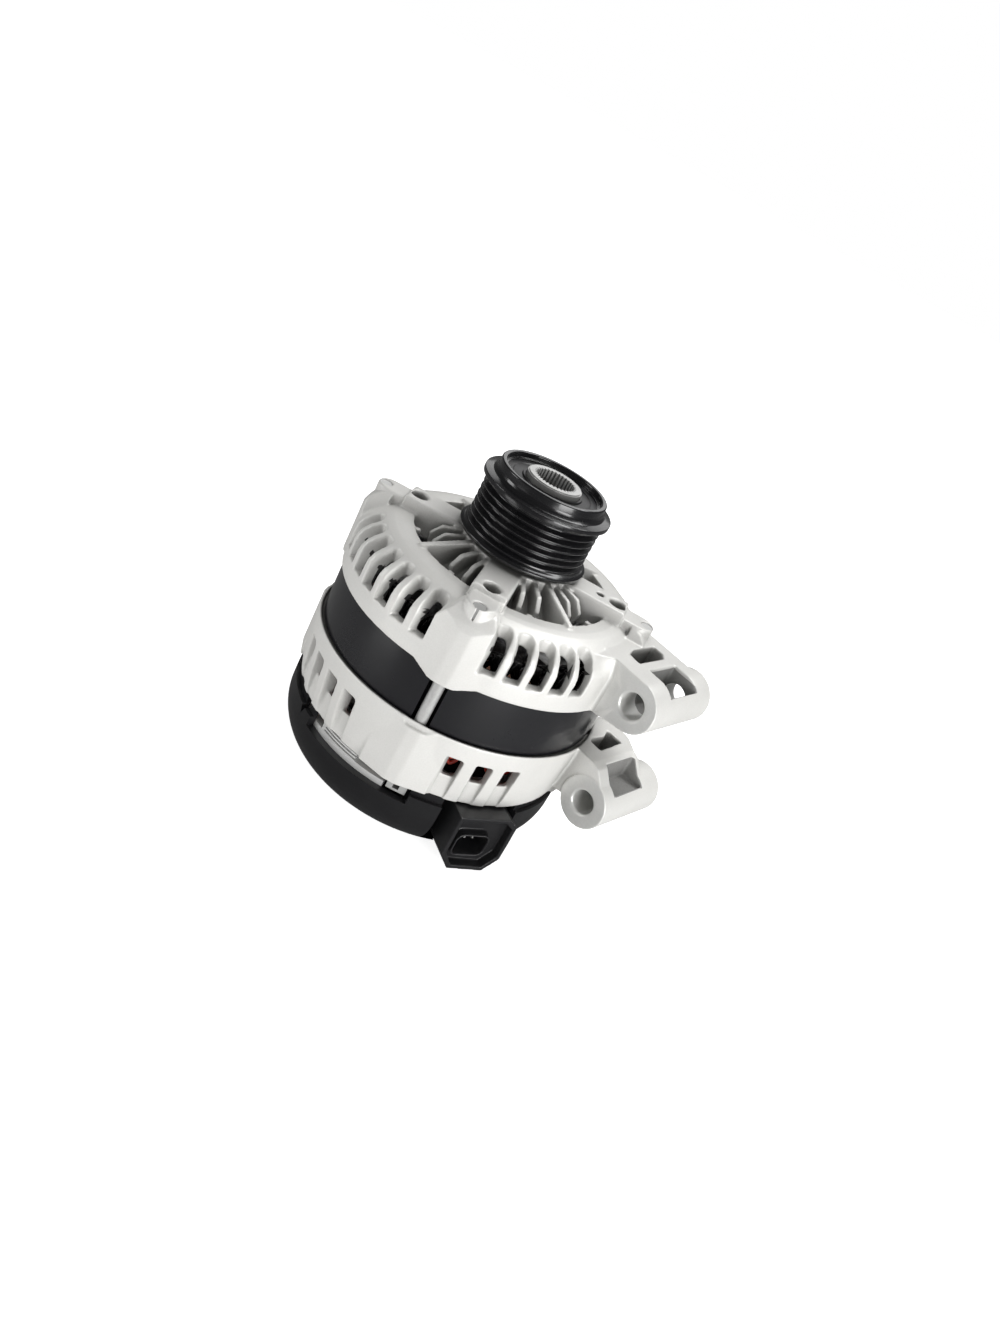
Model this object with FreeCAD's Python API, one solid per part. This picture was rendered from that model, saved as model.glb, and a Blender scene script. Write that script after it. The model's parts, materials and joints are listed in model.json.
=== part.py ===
"""Car alternator: claw-pole machine with two pivot lugs and a six-rib overrunning pulley.

Frame: millimetres, +Z along the shaft towards the pulley, origin on the shaft axis at the
flat rear face of the cover. The lug bores run along Y and lie on the +X side.
"""
import FreeCAD, Part
import math
import os

V = FreeCAD.Vector
UP = V(0, 0, 1)
ORIGIN = V(0, 0, 0)

# ---------------------------------------------------------------- main sizes
Z_REAR_EDGE = 37.0        # lower edge of the rear housing
Z_REAR_RIM = 71.5         # upper rim of the rear housing
Z_FRONT_RIM = 98.0        # lower rim of the drive-end housing
Z_FACE = 130.0            # flat ring round the front openings
Z_BOSS = 134.0            # tops of the through-bolt bosses
Z_PAD = 136.5             # tops of the four raised arms
Z_TOP = 174.8             # nose of the pulley
R_RIM = 74.4              # outer radius of both housings
R_STACK = 72.8            # bare stator stack
R_REGISTER = 70.8         # stack ends, turned down to seat in the housings
REGISTER = 3.0            # how far the stack seats in each housing
R_BORE = 51.9             # stator bore
R_ROTOR = 51.5            # claw-pole outer radius
BOLT_AZIMUTHS = (-60, 30, 120, 210)
R_BOLT_CIRCLE = 70.8
R_BOLT = 3.0
R_BOLT_HEAD = 4.6
Z_BOLT_SEAT = 43.0        # face the bolt heads bear on
ARM_WIDTH = 17.0
BOSS_R = 7.3              # bolt boss at the outer end of an arm
BOSS_X = 67.0
CORNER_HALF = 17.5        # half width of the flat flanks that meet at each bolt
CORNER_SIDE = 72.2        # where a flank meets the round wall
CORNER_NOSE = 76.8
Z_FRONT_DIP = 94.2        # how low the front rim dips at each bolt
Z_REAR_DIP = 68.6         # how low the rear rim dips at each bolt
WINDOW_DEEP = 68.6        # a window's sloping flank starts here and runs out to the surface
WINDOW_NARROW = 1.4
WINDOW_WIDE = 5.6
R_WEB = 41.0              # the front hub's conical web ends here
R_OPENING = 51.0          # outer edge of the front openings
R_HUB = 28.0              # hub that carries the front bearing
R_ARM_HOLE = 4.25
R_ARM_CIRCLE = 53.5
R_SLOT_END = 64.5         # inboard end of each gill slot

LUG_X = 91.0
FRONT_LUG_Z = 114.6
FRONT_LUG_R = 13.0
FRONT_LUG_Y = (0.0, 49.0)
FRONT_BORE_R = 6.25
REAR_LUG_X = 90.5
REAR_LUG_Z = 51.1
REAR_LUG_R = 13.3
REAR_LUG_Y = (13.8, 62.8)
REAR_BORE_R = 6.05

COVER_R = 73.2
COVER_FILLET = 25.0
COVER_WALL = 2.5
COVER_TOP = 33.0

RIB_PITCH = 3.56          # poly-V rib pitch
RIB_COUNT = 6
R_CREST = 29.75
R_ROOT = 26.9
RUN = 0.3                 # free gap between pieces that move past each other

CONNECTOR_AZIMUTH = -22.0
SHROUD = [(-14.5, 34.0), (-14.5, 12.5), (-7.5, 3.5), (12.5, 2.6), (19.0, 11.0), (18.5, 32.0),
          (13.0, 36.2), (-14.5, 36.2)]
SOCKET = (-1.0, 18.2, 9.2, 6.8)       # centre across, height, half width, half height

COVER_SCREW_CIRCLE = 44.0
COVER_SCREW_AZIMUTHS = (68, 188, -52)
STUD_END = 41.0           # how far the cover studs reach into the rear housing
OUTPUT_CIRCLE = 60.0      # output stud's distance from the axis
OUTPUT_AZIMUTH = 150.0
POSITIVE_DIODES = (-122.0, -112.0, -102.0, -92.0, -82.0, -72.0)
NEGATIVE_DIODES = (60.0, 69.0, 78.0, 101.0, 110.0, 119.0)

BRUSH_LENGTH = 14.0
BRUSH_TIP = 8.3           # new brushes touch the slip rings here
BRUSH_HEIGHTS = (17.0, 26.5)
HOLDER = (10.5, 38.0, 6.0)            # from, to, half width
HOLDER_Z = (12.5, 31.0)

SHAFT_STEPS = [           # radius, from, to
    (5.0, 9.5, 40.5), (7.5, 40.5, 53.0), (10.0, 53.0, 118.5), (8.5, 118.5, 139.3),
    (8.0, 139.3, 163.0)]
FRONT_BEARING = {"r_in": 8.5, "r_out": 23.5, "z0": 119.0, "z1": 133.0, "ball": 4.2, "count": 8}
REAR_BEARING = {"r_in": 7.5, "r_out": 17.5, "z0": 41.0, "z1": 52.0, "ball": 2.9, "count": 9}
PULLEY_BEARING = {"r_in": 13.7, "r_out": 22.0, "z0": 159.0, "z1": 169.0, "ball": 2.3, "count": 14}
RETAINER_CIRCLE = 26.8
RETAINER_SCREW_R = 1.95
SLOT_COUNT = 36           # winding slots of the stator


# ---------------------------------------------------------------- helpers
def disc(r, z0, z1, x=0.0, y=0.0):
    return Part.makeCylinder(r, z1 - z0, V(x, y, z0), UP)


def ring(r_out, r_in, z0, z1, x=0.0, y=0.0):
    return disc(r_out, z0, z1, x, y).cut(disc(r_in, z0 - 1, z1 + 1, x, y))


def box(x0, x1, y0, y1, z0, z1):
    return Part.makeBox(x1 - x0, y1 - y0, z1 - z0, V(x0, y0, z0))


def rod_y(r, x, z, y0, y1):
    return Part.makeCylinder(r, y1 - y0, V(x, y0, z), V(0, 1, 0))


def spin(shape, degrees):
    turned = shape.copy()
    turned.rotate(ORIGIN, UP, degrees)
    return turned


def around(shape, azimuths):
    return [spin(shape, a) for a in azimuths]


def evenly(count, start=0.0):
    return [start + 360.0 * k / count for k in range(count)]


def polar(r, azimuth, z=0.0):
    a = math.radians(azimuth)
    return V(r * math.cos(a), r * math.sin(a), z)


def hexagon_at(r, x, y, z0, z1):
    """Six-sided prism with its corners on a circle of radius r."""
    turns = [math.radians(a) for a in evenly(6)]
    return prism_z([(x + r * math.cos(a), y + r * math.sin(a)) for a in turns], z0, z1)


def revolved(points, angle=360.0, start=0.0):
    """Solid of revolution of a closed (radius, height) outline about Z."""
    wire = Part.makePolygon([V(r, 0, z) for r, z in points + points[:1]])
    solid = Part.Face(wire).revolve(ORIGIN, UP, angle)
    return spin(solid, start) if start else solid


def sector(r_in, r_out, z0, z1, a0, a1):
    outline = [(r_in, z0), (r_out, z0), (r_out, z1), (r_in, z1)]
    return revolved(outline, a1 - a0, a0)


def prism_z(points, z0, z1):
    wire = Part.makePolygon([V(x, y, z0) for x, y in points + points[:1]])
    return Part.Face(wire).extrude(V(0, 0, z1 - z0))


def prism_y(points, y0, y1):
    """Upright (x, z) outline pushed along Y."""
    wire = Part.makePolygon([V(x, y0, z) for x, z in points + points[:1]])
    return Part.Face(wire).extrude(V(0, y1 - y0, 0))


def prism_x(points, x0, x1):
    """Upright (y, z) outline pushed along X."""
    wire = Part.makePolygon([V(x0, y, z) for y, z in points + points[:1]])
    return Part.Face(wire).extrude(V(x1 - x0, 0, 0))


def fuse(shapes):
    return shapes[0].multiFuse(shapes[1:]).removeSplitter()


def soften(shape, radius, wanted):
    """Fillet the edges that `wanted` picks; the shape stays as it is if they can't be rounded."""
    edges = [e for e in shape.Edges if wanted(e)]
    try:
        rounded = shape.makeFillet(radius, edges)
    except Exception:
        return shape
    return rounded if rounded.isValid() and rounded.Volume > 0.5 * shape.Volume else shape


def group(solids):
    return Part.makeCompound(solids)


COVER_SCREWS = [(polar(COVER_SCREW_CIRCLE, a).x, polar(COVER_SCREW_CIRCLE, a).y)
                for a in COVER_SCREW_AZIMUTHS]
OUTPUT_X, OUTPUT_Y = polar(OUTPUT_CIRCLE, OUTPUT_AZIMUTH).x, polar(OUTPUT_CIRCLE, OUTPUT_AZIMUTH).y


def save(name, shape):
    shape.exportStep("parts/" + name + ".step")
    boxed = shape.BoundBox
    print("%-24s solids %2d  valid %s  z %.1f..%.1f" % (
        name, len(shape.Solids), shape.isValid(), boxed.ZMin, boxed.ZMax))


# ---------------------------------------------------------------- drive-end housing
def front_shell():
    """Turned body: wall, rounded shoulder and face ring, open towards the stator."""
    lip = Z_FRONT_RIM + REGISTER
    points = [
        (R_REGISTER, Z_FRONT_RIM), (R_RIM, Z_FRONT_RIM), (74.6, 114.5), (74.1, 118.0),
        (72.6, 121.2), (70.2, 124.0), (67.2, 126.4), (64.0, 128.2), (60.5, 129.4),
        (57.0, Z_FACE), (R_OPENING, Z_FACE), (R_OPENING, 124.5), (58.0, 124.5),
        (62.5, 122.6), (66.5, 119.6), (69.0, 116.0), (69.8, 112.0), (69.8, lip),
        (R_REGISTER, lip)]
    return revolved(points)


def slot_wire(depth, offset):
    """Outline of one gill slot at a given depth below the housing's surface."""
    points = [
        (84.0, 106.0), (74.5 - depth, 106.5 + 0.35 * depth), (74.6 - depth, 116.5),
        (70.4 - 0.75 * depth, 123.9 - 0.7 * depth), (R_SLOT_END, 128.2 - 1.2 * depth),
        (R_SLOT_END, 142.0), (84.0, 142.0)]
    return Part.makePolygon([V(x, offset, z) for x, z in points + points[:1]])


def slot_tool():
    """Gill slot: one flank leans in with the casting's draft, the other is radial."""
    deep = 6.2
    left = Part.makeLoft([slot_wire(-0.6, -4.5), slot_wire(deep, -0.9)], True, True)
    right = Part.makeLoft([slot_wire(deep, -0.9), slot_wire(deep, 3.9)], True, True)
    mid = R_SLOT_END + 3.9
    plan = fuse([box(mid, 86.0, -4.5, 3.9, 100.0, 145.0), disc(4.2, 100.0, 145.0, mid, -0.3)])
    return left.fuse(right).common(plan)


def slot_azimuths():
    """Five slots beside the lug, seven in the open quarters, six behind the lug."""
    beside_lug = [-12.6 - 8.82 * k for k in range(5)]
    left = [-74.8 - 9.0 * k for k in range(7)]
    back = [138.0 + 9.0 * k for k in range(7)]
    behind_lug = [57.0 + 9.0 * k for k in range(6)]
    return beside_lug + left + back + behind_lug


def corner(z0, z1):
    """Two flat flanks that meet in a rounded nose outside one through-bolt, along +X."""
    wedge = prism_z([(64.0, -CORNER_HALF), (CORNER_SIDE, -CORNER_HALF), (CORNER_NOSE, -3.0),
                     (CORNER_NOSE, 3.0), (CORNER_SIDE, CORNER_HALF), (64.0, CORNER_HALF)], z0, z1)
    return soften(wedge, 6.0, lambda e: e.BoundBox.ZLength > 5 and e.BoundBox.XMin > 75.0)


def front_corner():
    """Corner of the drive-end housing: it follows the shoulder and dips below the rim."""
    envelope = revolved([(60.0, 90.0), (80.0, 90.0), (80.0, 116.0), (77.0, 121.5), (75.4, 125.6),
                         (73.2, 129.0), (70.6, 131.2), (67.0, 132.4), (60.0, 132.4)])
    outline = prism_x([(-CORNER_HALF, Z_FRONT_RIM), (-15.5, Z_FRONT_RIM), (-6.0, Z_FRONT_DIP),
                       (6.0, Z_FRONT_DIP), (15.5, Z_FRONT_RIM), (CORNER_HALF, Z_FRONT_RIM),
                       (CORNER_HALF, 118.0), (7.6, 133.0), (-7.6, 133.0),
                       (-CORNER_HALF, 118.0)], 60.0, 80.0)
    return corner(90.0, 133.0).common(envelope).common(outline)


def arm():
    """One arm along +X: raised pad, lower bolt boss and the corner below it."""
    half = ARM_WIDTH / 2
    pad = box(20.0, 58.5, -half, half, 121.0, Z_PAD)
    pad = soften(pad, 1.2, lambda e: abs(e.BoundBox.ZMin - Z_PAD) < 0.01)
    column = fuse([box(56.0, BOSS_X, -BOSS_R, BOSS_R, 110.0, Z_BOSS),
                   disc(BOSS_R, 118.0, Z_BOSS, BOSS_X, 0)])
    column = soften(column, 0.8, lambda e: abs(e.BoundBox.ZMin - Z_BOSS) < 0.01)
    return fuse([pad, column, front_corner()])


def fins():
    """Radial fins of one front opening, centred on +X: one long, four short."""
    long_fin = prism_y([(26.0, 118.0), (53.0, 124.5), (54.5, Z_FACE + 1.2), (26.0, 137.0)],
                       -1.5, 1.5)
    short = prism_y([(26.0, 119.0), (40.5, 119.0), (42.5, 128.0), (38.0, 133.5), (26.0, 136.0)],
                    -1.3, 1.3)
    tab = box(47.5, 53.0, -1.6, 1.6, 125.5, Z_FACE - 0.8)
    return [long_fin] + around(short, (-26, -13.5, 13.5, 26)) + around(tab, (-21, 21))


def front_lug_root():
    """Blend from the round wall and shoulder to the square arris at the lug's near face."""
    heights = (99.4, 114.5, 118.0, 121.2, 124.0)
    sunk = zip((73.4, 73.6, 73.1, 71.6, 69.2), heights)
    square = zip((75.1, 75.1, 75.1, 74.7, 74.1), heights)
    azimuth = math.radians(-9.0)
    outlines = []
    for start, corners, end in ((60.0, list(sunk), (66.2, 126.4)),
                                (60.0, list(square), (73.4, 127.2))):
        outlines.append([(start, corners[0][1])] + corners + [end, (start, end[1])])
    far, near = outlines
    wires = [Part.makePolygon([V(r * math.cos(azimuth), r * math.sin(azimuth), z)
                               for r, z in far + far[:1]]),
             Part.makePolygon([V(x, 0.5, z) for x, z in near + near[:1]])]
    return Part.makeLoft(wires, True, True)


def front_lug_body():
    """Web and lug on the +X side; the near face is the plane Y = 0."""
    y0, y1 = FRONT_LUG_Y
    web = prism_y([(58.0, 99.0), (76.0, 98.8), (94.0, 101.9), (91.0, 127.6), (58.0, 127.6)],
                  y0, 45.0)
    return [web, front_lug_root(), rod_y(FRONT_LUG_R, LUG_X, FRONT_LUG_Z, y0, y1)]


def front_lug_cuts():
    inner = prism_z([(69.2, 19.0), (71.5, 12.8), (78.3, 12.0), (78.3, 33.0), (75.0, 36.5),
                     (69.5, 36.5)], 104.0, 140.0)
    outer = box(83.7, 99.4, 13.6, 36.0, 106.0, 140.0)
    bore = rod_y(FRONT_BORE_R, LUG_X, FRONT_LUG_Z, -5.0, 60.0)
    chamfers = [
        Part.makeCone(FRONT_BORE_R + 1.0, FRONT_BORE_R, 1.0, V(LUG_X, FRONT_LUG_Y[0], FRONT_LUG_Z),
                      V(0, 1, 0)),
        Part.makeCone(FRONT_BORE_R + 1.0, FRONT_BORE_R, 1.0, V(LUG_X, FRONT_LUG_Y[1], FRONT_LUG_Z),
                      V(0, -1, 0))]
    return [inner, outer, bore] + chamfers


def hub_web():
    """Conical floor between the fins, from the hub down to the air openings."""
    return revolved([(12.5, 117.0), (R_WEB - 1.5, 117.0), (R_WEB, 118.5), (R_WEB - 1.0, 121.0),
                     (R_HUB + 1.0, 129.0), (12.5, 129.0)])


def drive_end_housing():
    inside = disc(R_REGISTER, 90.0, Z_FRONT_RIM + REGISTER)
    cavity = revolved([(0, 90.0), (R_REGISTER, 90.0), (R_REGISTER, 101.0), (69.8, 101.0),
                       (69.8, 112.0), (69.0, 116.0), (66.5, 119.6), (62.5, 122.6),
                       (58.0, 124.5), (49.0, 124.5), (45.0, 121.5), (0, 121.5)])
    solid = [front_shell()]
    solid += around(arm(), BOLT_AZIMUTHS)
    for quarter in (-105, -15, 75, 165):
        solid += around(group(fins()), (quarter,))
    solid.append(ring(R_HUB, 12.5, 117.0, Z_PAD))
    solid.append(hub_web())
    body = fuse(solid)
    body = body.cut(cavity.cut(disc(R_WEB, 117.0, 125.0)))
    body = body.cut(inside).cut(disc(R_STACK, 90.0, Z_FRONT_RIM))
    lug = fuse(front_lug_body()).cut(disc(71.5, 90.0, 121.0)).cut(disc(60.0, 90.0, 140.0))
    body = fuse([body, lug])
    body = body.cut(group(front_lug_cuts()))
    body = body.cut(group(around(slot_tool(), slot_azimuths())))
    drill = [disc(R_BOLT + 0.15, 90.0, 140.0, R_BOLT_CIRCLE, 0),
             disc(R_ARM_HOLE, 120.0, 140.0, R_ARM_CIRCLE, 0),
             Part.makeCone(R_ARM_HOLE, R_ARM_HOLE + 0.8, 0.8, V(R_ARM_CIRCLE, 0, Z_PAD - 0.8), UP)]
    body = body.cut(group(around(group(drill), BOLT_AZIMUTHS)))
    body = body.cut(spin(disc(2.0, 128.0, 140.0, 44.0, 0), 30))
    screws = around(disc(RETAINER_SCREW_R, 110.0, 123.0, RETAINER_CIRCLE, 0), BOLT_AZIMUTHS)
    pocket = disc(FRONT_BEARING["r_out"], 110.0, FRONT_BEARING["z1"])
    return body.cut(group(screws + [pocket]))


# ---------------------------------------------------------------- rear housing
def window_azimuths():
    """Three windows beside the lug, four in each of the other quarters."""
    beside_lug = [-42.6, -31.2, -19.8]
    left = [-86.9 - 10.7 * k for k in range(4)]
    back = [149.0 + 10.7 * k for k in range(4)]
    behind_lug = [66.0 + 10.7 * k for k in range(4)]
    return beside_lug + left + back + behind_lug


def rear_shell():
    """Turned body: rim with a shallow groove round the stack, wall and end wall."""
    seat = Z_REAR_RIM - REGISTER
    points = [
        (74.0, Z_REAR_RIM), (75.2, Z_REAR_RIM), (75.0, 62.0), (74.0, 50.0), (73.2, 42.5),
        (72.0, Z_REAR_EDGE), (26.0, Z_REAR_EDGE), (26.0, 42.0), (66.0, 42.0), (68.0, 44.5),
        (68.8, 50.0), (68.8, seat), (R_REGISTER, seat), (R_REGISTER, 70.0), (74.0, 70.0)]
    return revolved(points)


def rear_corner():
    """Corner of the rear housing round one through-bolt, with the rim's dip."""
    seat = Z_REAR_EDGE + 0.5
    outline = prism_x([(-CORNER_HALF, seat), (CORNER_HALF, seat), (CORNER_HALF, Z_REAR_RIM),
                       (9.5, Z_REAR_RIM), (5.5, Z_REAR_DIP), (-5.5, Z_REAR_DIP),
                       (-9.5, Z_REAR_RIM), (-CORNER_HALF, Z_REAR_RIM)], 60.0, 80.0)
    return corner(seat, Z_REAR_RIM).common(outline)


def window_plan(depth):
    """Plan of a window cut in to x = depth: one sloping flank, one straight one."""
    slope = (WINDOW_WIDE - WINDOW_NARROW) / (76.0 - WINDOW_DEEP)
    inner = WINDOW_NARROW + slope * max(depth - WINDOW_DEEP, 0.0)
    start = [(depth, -inner)]
    if depth < WINDOW_DEEP:
        start.append((WINDOW_DEEP, -inner))
    return start + [(76.0, -WINDOW_WIDE), (80.0, -WINDOW_WIDE), (80.0, 4.0), (depth, 4.0)]


def window_tool():
    """Window with a sloping left flank, and the channel from it down to the lower edge."""
    window = prism_z(window_plan(60.0), 50.0, 62.0)
    window = soften(window, 1.4, lambda e: e.BoundBox.XLength > 10)
    channel = prism_z(window_plan(71.3), 30.0, 56.0)
    return fuse([window, channel])


def rear_lug_body():
    y0, y1 = REAR_LUG_Y
    near = y0 + 0.7
    web = prism_y([(58.0, 45.0), (74.5, 45.0), (80.0, 46.5), (90.5, 45.0), (101.8, 56.0),
                   (88.5, 70.0), (84.0, 71.5), (58.0, 71.5)], near, 50.0)
    far = prism_z([(58.0, 49.0), (86.0, 49.0), (76.0, 56.0), (58.0, 58.0)], 45.0, 71.5)
    return [web, far, rod_y(REAR_LUG_R, REAR_LUG_X, REAR_LUG_Z, y0, y1)]


def rear_lug_cuts():
    inner = prism_z([(70.0, 30.0), (72.0, 27.2), (78.6, 27.2), (77.6, 47.0), (68.0, 46.5),
                     (71.0, 40.0)], 50.0, 90.0)
    outer = box(86.6, 99.2, 22.8, 46.6, 58.6, 90.0)
    bore = rod_y(REAR_BORE_R, REAR_LUG_X, REAR_LUG_Z, 5.0, 70.0)
    chamfers = [
        Part.makeCone(REAR_BORE_R + 0.8, REAR_BORE_R, 0.8,
                      V(REAR_LUG_X, REAR_LUG_Y[0], REAR_LUG_Z), V(0, 1, 0)),
        Part.makeCone(REAR_BORE_R + 0.8, REAR_BORE_R, 0.8,
                      V(REAR_LUG_X, REAR_LUG_Y[1], REAR_LUG_Z), V(0, -1, 0))]
    return [inner, outer, bore] + chamfers


def rear_housing():
    spokes = [sector(24.0, 66.0, Z_REAR_EDGE, 42.0, a - 7, a + 7) for a in evenly(6, 8)]
    holes = sector(34.0, 56.0, 30.0, 45.0, -18, 18)
    body = rear_shell()
    body = body.cut(group(around(holes, evenly(6, 38))))
    body = fuse([body] + spokes + around(rear_corner(), BOLT_AZIMUTHS))
    lug = fuse(rear_lug_body()).cut(disc(72.0, 30.0, 80.0))
    body = fuse([body, lug, ring(28.0, 12.0, Z_REAR_EDGE, 53.0)])
    notch = box(66.0, 74.0, -5.5, 5.5, Z_REAR_DIP, 80.0)
    body = body.cut(group(around(notch, BOLT_AZIMUTHS)))
    body = body.cut(disc(R_REGISTER, Z_REAR_RIM - REGISTER, 80.0))
    body = body.cut(ring(74.0, 60.0, 70.0, 80.0)).cut(disc(66.6, 53.5, 80.0))
    body = body.cut(group(rear_lug_cuts()))
    body = body.cut(group(around(window_tool(), window_azimuths())))
    body = body.cut(group(around(disc(R_BOLT + 0.15, 30.0, 90.0, R_BOLT_CIRCLE, 0),
                                 BOLT_AZIMUTHS)))
    body = body.cut(group(around(disc(R_BOLT_HEAD + 0.3, 30.0, Z_BOLT_SEAT, R_BOLT_CIRCLE, 0),
                                 BOLT_AZIMUTHS)))
    body = body.cut(group([disc(2.5, 30.0, STUD_END, x, y) for x, y in COVER_SCREWS]))
    pocket = disc(REAR_BEARING["r_out"] + 1.5, REAR_BEARING["z0"], 60.0)
    return body.cut(pocket)


# ---------------------------------------------------------------- bearings
def race_groove(b):
    middle = (b["r_in"] + b["r_out"]) / 2
    return Part.makeTorus(middle, b["ball"] + RUN, V(0, 0, (b["z0"] + b["z1"]) / 2), UP)


def outer_race(b):
    middle = (b["r_in"] + b["r_out"]) / 2
    return ring(b["r_out"], middle + 0.55 * b["ball"], b["z0"], b["z1"]).cut(race_groove(b))


def inner_race(b):
    middle = (b["r_in"] + b["r_out"]) / 2
    return ring(middle - 0.55 * b["ball"], b["r_in"], b["z0"], b["z1"]).cut(race_groove(b))


def balls(b):
    middle = (b["r_in"] + b["r_out"]) / 2
    height = (b["z0"] + b["z1"]) / 2
    return group([Part.makeSphere(b["ball"], polar(middle, a, height))
                  for a in evenly(b["count"])])


def cage(b):
    """Ring with a round radial pocket for each ball."""
    middle = (b["r_in"] + b["r_out"]) / 2
    height = (b["z0"] + b["z1"]) / 2
    half = 1.25 * b["ball"]
    band = ring(middle + 0.35 * b["ball"], middle - 0.35 * b["ball"], height - half, height + half)
    pocket = Part.makeCylinder(b["ball"] + 0.08, 12.0, V(middle - 6.0, 0, height), V(1, 0, 0))
    return band.cut(group(around(pocket, evenly(b["count"]))))


# ---------------------------------------------------------------- stator
def stator_core():
    """Laminated stack with 36 open winding slots and a groove for each through-bolt."""
    z0 = Z_REAR_RIM - REGISTER
    z1 = Z_FRONT_RIM + REGISTER
    stack = fuse([disc(R_STACK, Z_REAR_RIM, Z_FRONT_RIM), disc(R_REGISTER, z0, z1)])
    stack = stack.cut(disc(R_BORE, z0 - 1, z1 + 1))
    slot = box(R_BORE + 1.2, 63.0, -2.1, 2.1, z0 - 1, z1 + 1)
    mouth = box(R_BORE - 2, R_BORE + 2, -1.0, 1.0, z0 - 1, z1 + 1)
    slots = around(slot.fuse(mouth), evenly(SLOT_COUNT, 5))
    grooves = around(disc(4.8, z0 - 1, z1 + 1, R_BOLT_CIRCLE + 0.3, 0), BOLT_AZIMUTHS)
    return stack.cut(group(slots + grooves))


def winding(z_near, z_far):
    """End turns: a ring of slanted coil bundles that come out of the slots."""
    low, high = min(z_near, z_far), max(z_near, z_far)
    base = ring(62.6, 54.0, low, high)
    bundle = box(53.2, 65.2, -1.5, 1.5, low, high)
    return fuse([base] + around(bundle, evenly(SLOT_COUNT, 5)))


def slot_copper():
    """Straight coil sides inside the slots, joining the two rings of end turns."""
    z0 = Z_REAR_RIM - REGISTER
    z1 = Z_FRONT_RIM + REGISTER
    bar = box(R_BORE + 1.6, 62.6, -1.7, 1.7, z0, z1)
    return group(around(bar, evenly(SLOT_COUNT, 5)))


def through_bolts():
    """Bolts put in from the rear, flush with the front bosses."""
    shank = disc(R_BOLT, 41.0, Z_BOSS - 0.6, R_BOLT_CIRCLE, 0)
    head = disc(R_BOLT_HEAD, 37.6, Z_BOLT_SEAT, R_BOLT_CIRCLE, 0)
    drive = hexagon_at(2.6, R_BOLT_CIRCLE, 0.0, 37.0, 40.0)
    bolt = fuse([shank, head]).cut(drive)
    return group(around(bolt, BOLT_AZIMUTHS))


# ---------------------------------------------------------------- rotor
def rotor_shaft():
    steps = [disc(r, z0, z1) for r, z0, z1 in SHAFT_STEPS]
    return fuse(steps)


def claw_blank(root_z, tip_z):
    """One claw along +X, tapering in width and thickness from root to tip."""
    side = [(-11.5, root_z), (11.5, root_z), (5.0, tip_z), (-5.0, tip_z)]
    block = prism_x(side, 30.0, 60.0)
    inner_root, inner_tip = 39.0, 46.5
    outline = [(inner_root, root_z), (R_ROTOR, root_z), (R_ROTOR, tip_z), (inner_tip, tip_z)]
    return block.common(revolved(outline))


def claw_pole(disc_z0, disc_z1, tip_z, start):
    root_z = disc_z0 if tip_z > disc_z1 else disc_z1
    plate = disc(40.5, disc_z0, disc_z1)
    claws = around(claw_blank(root_z, tip_z), evenly(6, start))
    arms = around(box(30.0, 47.0, -11.4, 11.4, disc_z0, disc_z1), evenly(6, start))
    shape = fuse([plate] + arms + claws)
    return shape.common(disc(R_ROTOR, disc_z0 - 60, disc_z1 + 60)).cut(disc(10.0, 0, 200))


def fan(z0, z1, blade_to, start):
    """Pressed fan: a plate and eleven swept blades that stand towards `blade_to`."""
    plate = ring(38.0, 10.05, z0, z1)
    low, high = min(z0, blade_to), max(z1, blade_to)
    blade = prism_z([(33.0, -1.6), (38.0, -0.6), (48.8, 5.5), (49.3, 4.1), (38.4, -2.2),
                     (33.2, -3.2)], low, high)
    return fuse([plate] + around(blade, evenly(11, start)))


def field_bobbin():
    flange_low = ring(38.0, 20.05, 74.3, 75.8)
    flange_high = ring(38.0, 20.05, 94.2, 95.7)
    return fuse([flange_low, flange_high, ring(21.4, 20.05, 74.3, 95.7)])


def slip_rings():
    return group([ring(8.2, 6.5, 14.0, 20.0), ring(8.2, 6.5, 23.5, 29.5)])


def slip_ring_sleeve():
    flanges = [ring(8.9, 5.0, z0, z1) for z0, z1 in ((12.0, 13.7), (20.3, 23.2), (29.8, 31.5))]
    return fuse([ring(6.45, 5.0, 12.0, 38.0)] + flanges)


# ---------------------------------------------------------------- pulley
def sheave_profile():
    """Outline of the belt wheel: rear flange, ribs, front flange and nose rim."""
    first_crest = 143.0
    points = [(21.0, 138.7), (30.5, 138.7), (32.5, 139.6), (32.5, 141.0), (31.2, 142.0),
              (R_CREST, first_crest - 0.4)]
    for k in range(RIB_COUNT):
        z = first_crest + RIB_PITCH * k
        points += [(R_CREST, z + 0.35), (R_ROOT, z + 1.45), (R_ROOT, z + 2.1),
                   (R_CREST, z + 3.2)]
    points += [(R_CREST, 165.0), (32.15, 165.7), (32.15, 167.9), (28.4, 168.6), (27.2, 169.8),
               (26.8, 171.0), (26.8, 174.3), (26.3, Z_TOP), (24.6, Z_TOP), (24.2, 174.2),
               (24.2, 172.2), (22.9, 172.2), (22.9, 170.6), (22.0, 170.6), (22.0, 159.0),
               (19.9, 159.0), (19.9, 144.0), (21.0, 144.0)]
    return points


def pulley_sheave():
    return revolved(sheave_profile())


def pulley_seal():
    """Dark sealing disc pressed inside the nose rim."""
    return revolved([(14.0, 170.8), (22.9, 170.8), (22.9, 171.6), (20.0, 171.6), (19.4, 171.2),
                     (15.4, 171.2), (15.0, 171.9), (14.0, 171.9)])


def pulley_bush():
    """Plain bush that steadies the belt wheel's open end on the hub."""
    return ring(21.0, 14.0, 139.6, 143.8)


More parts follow.
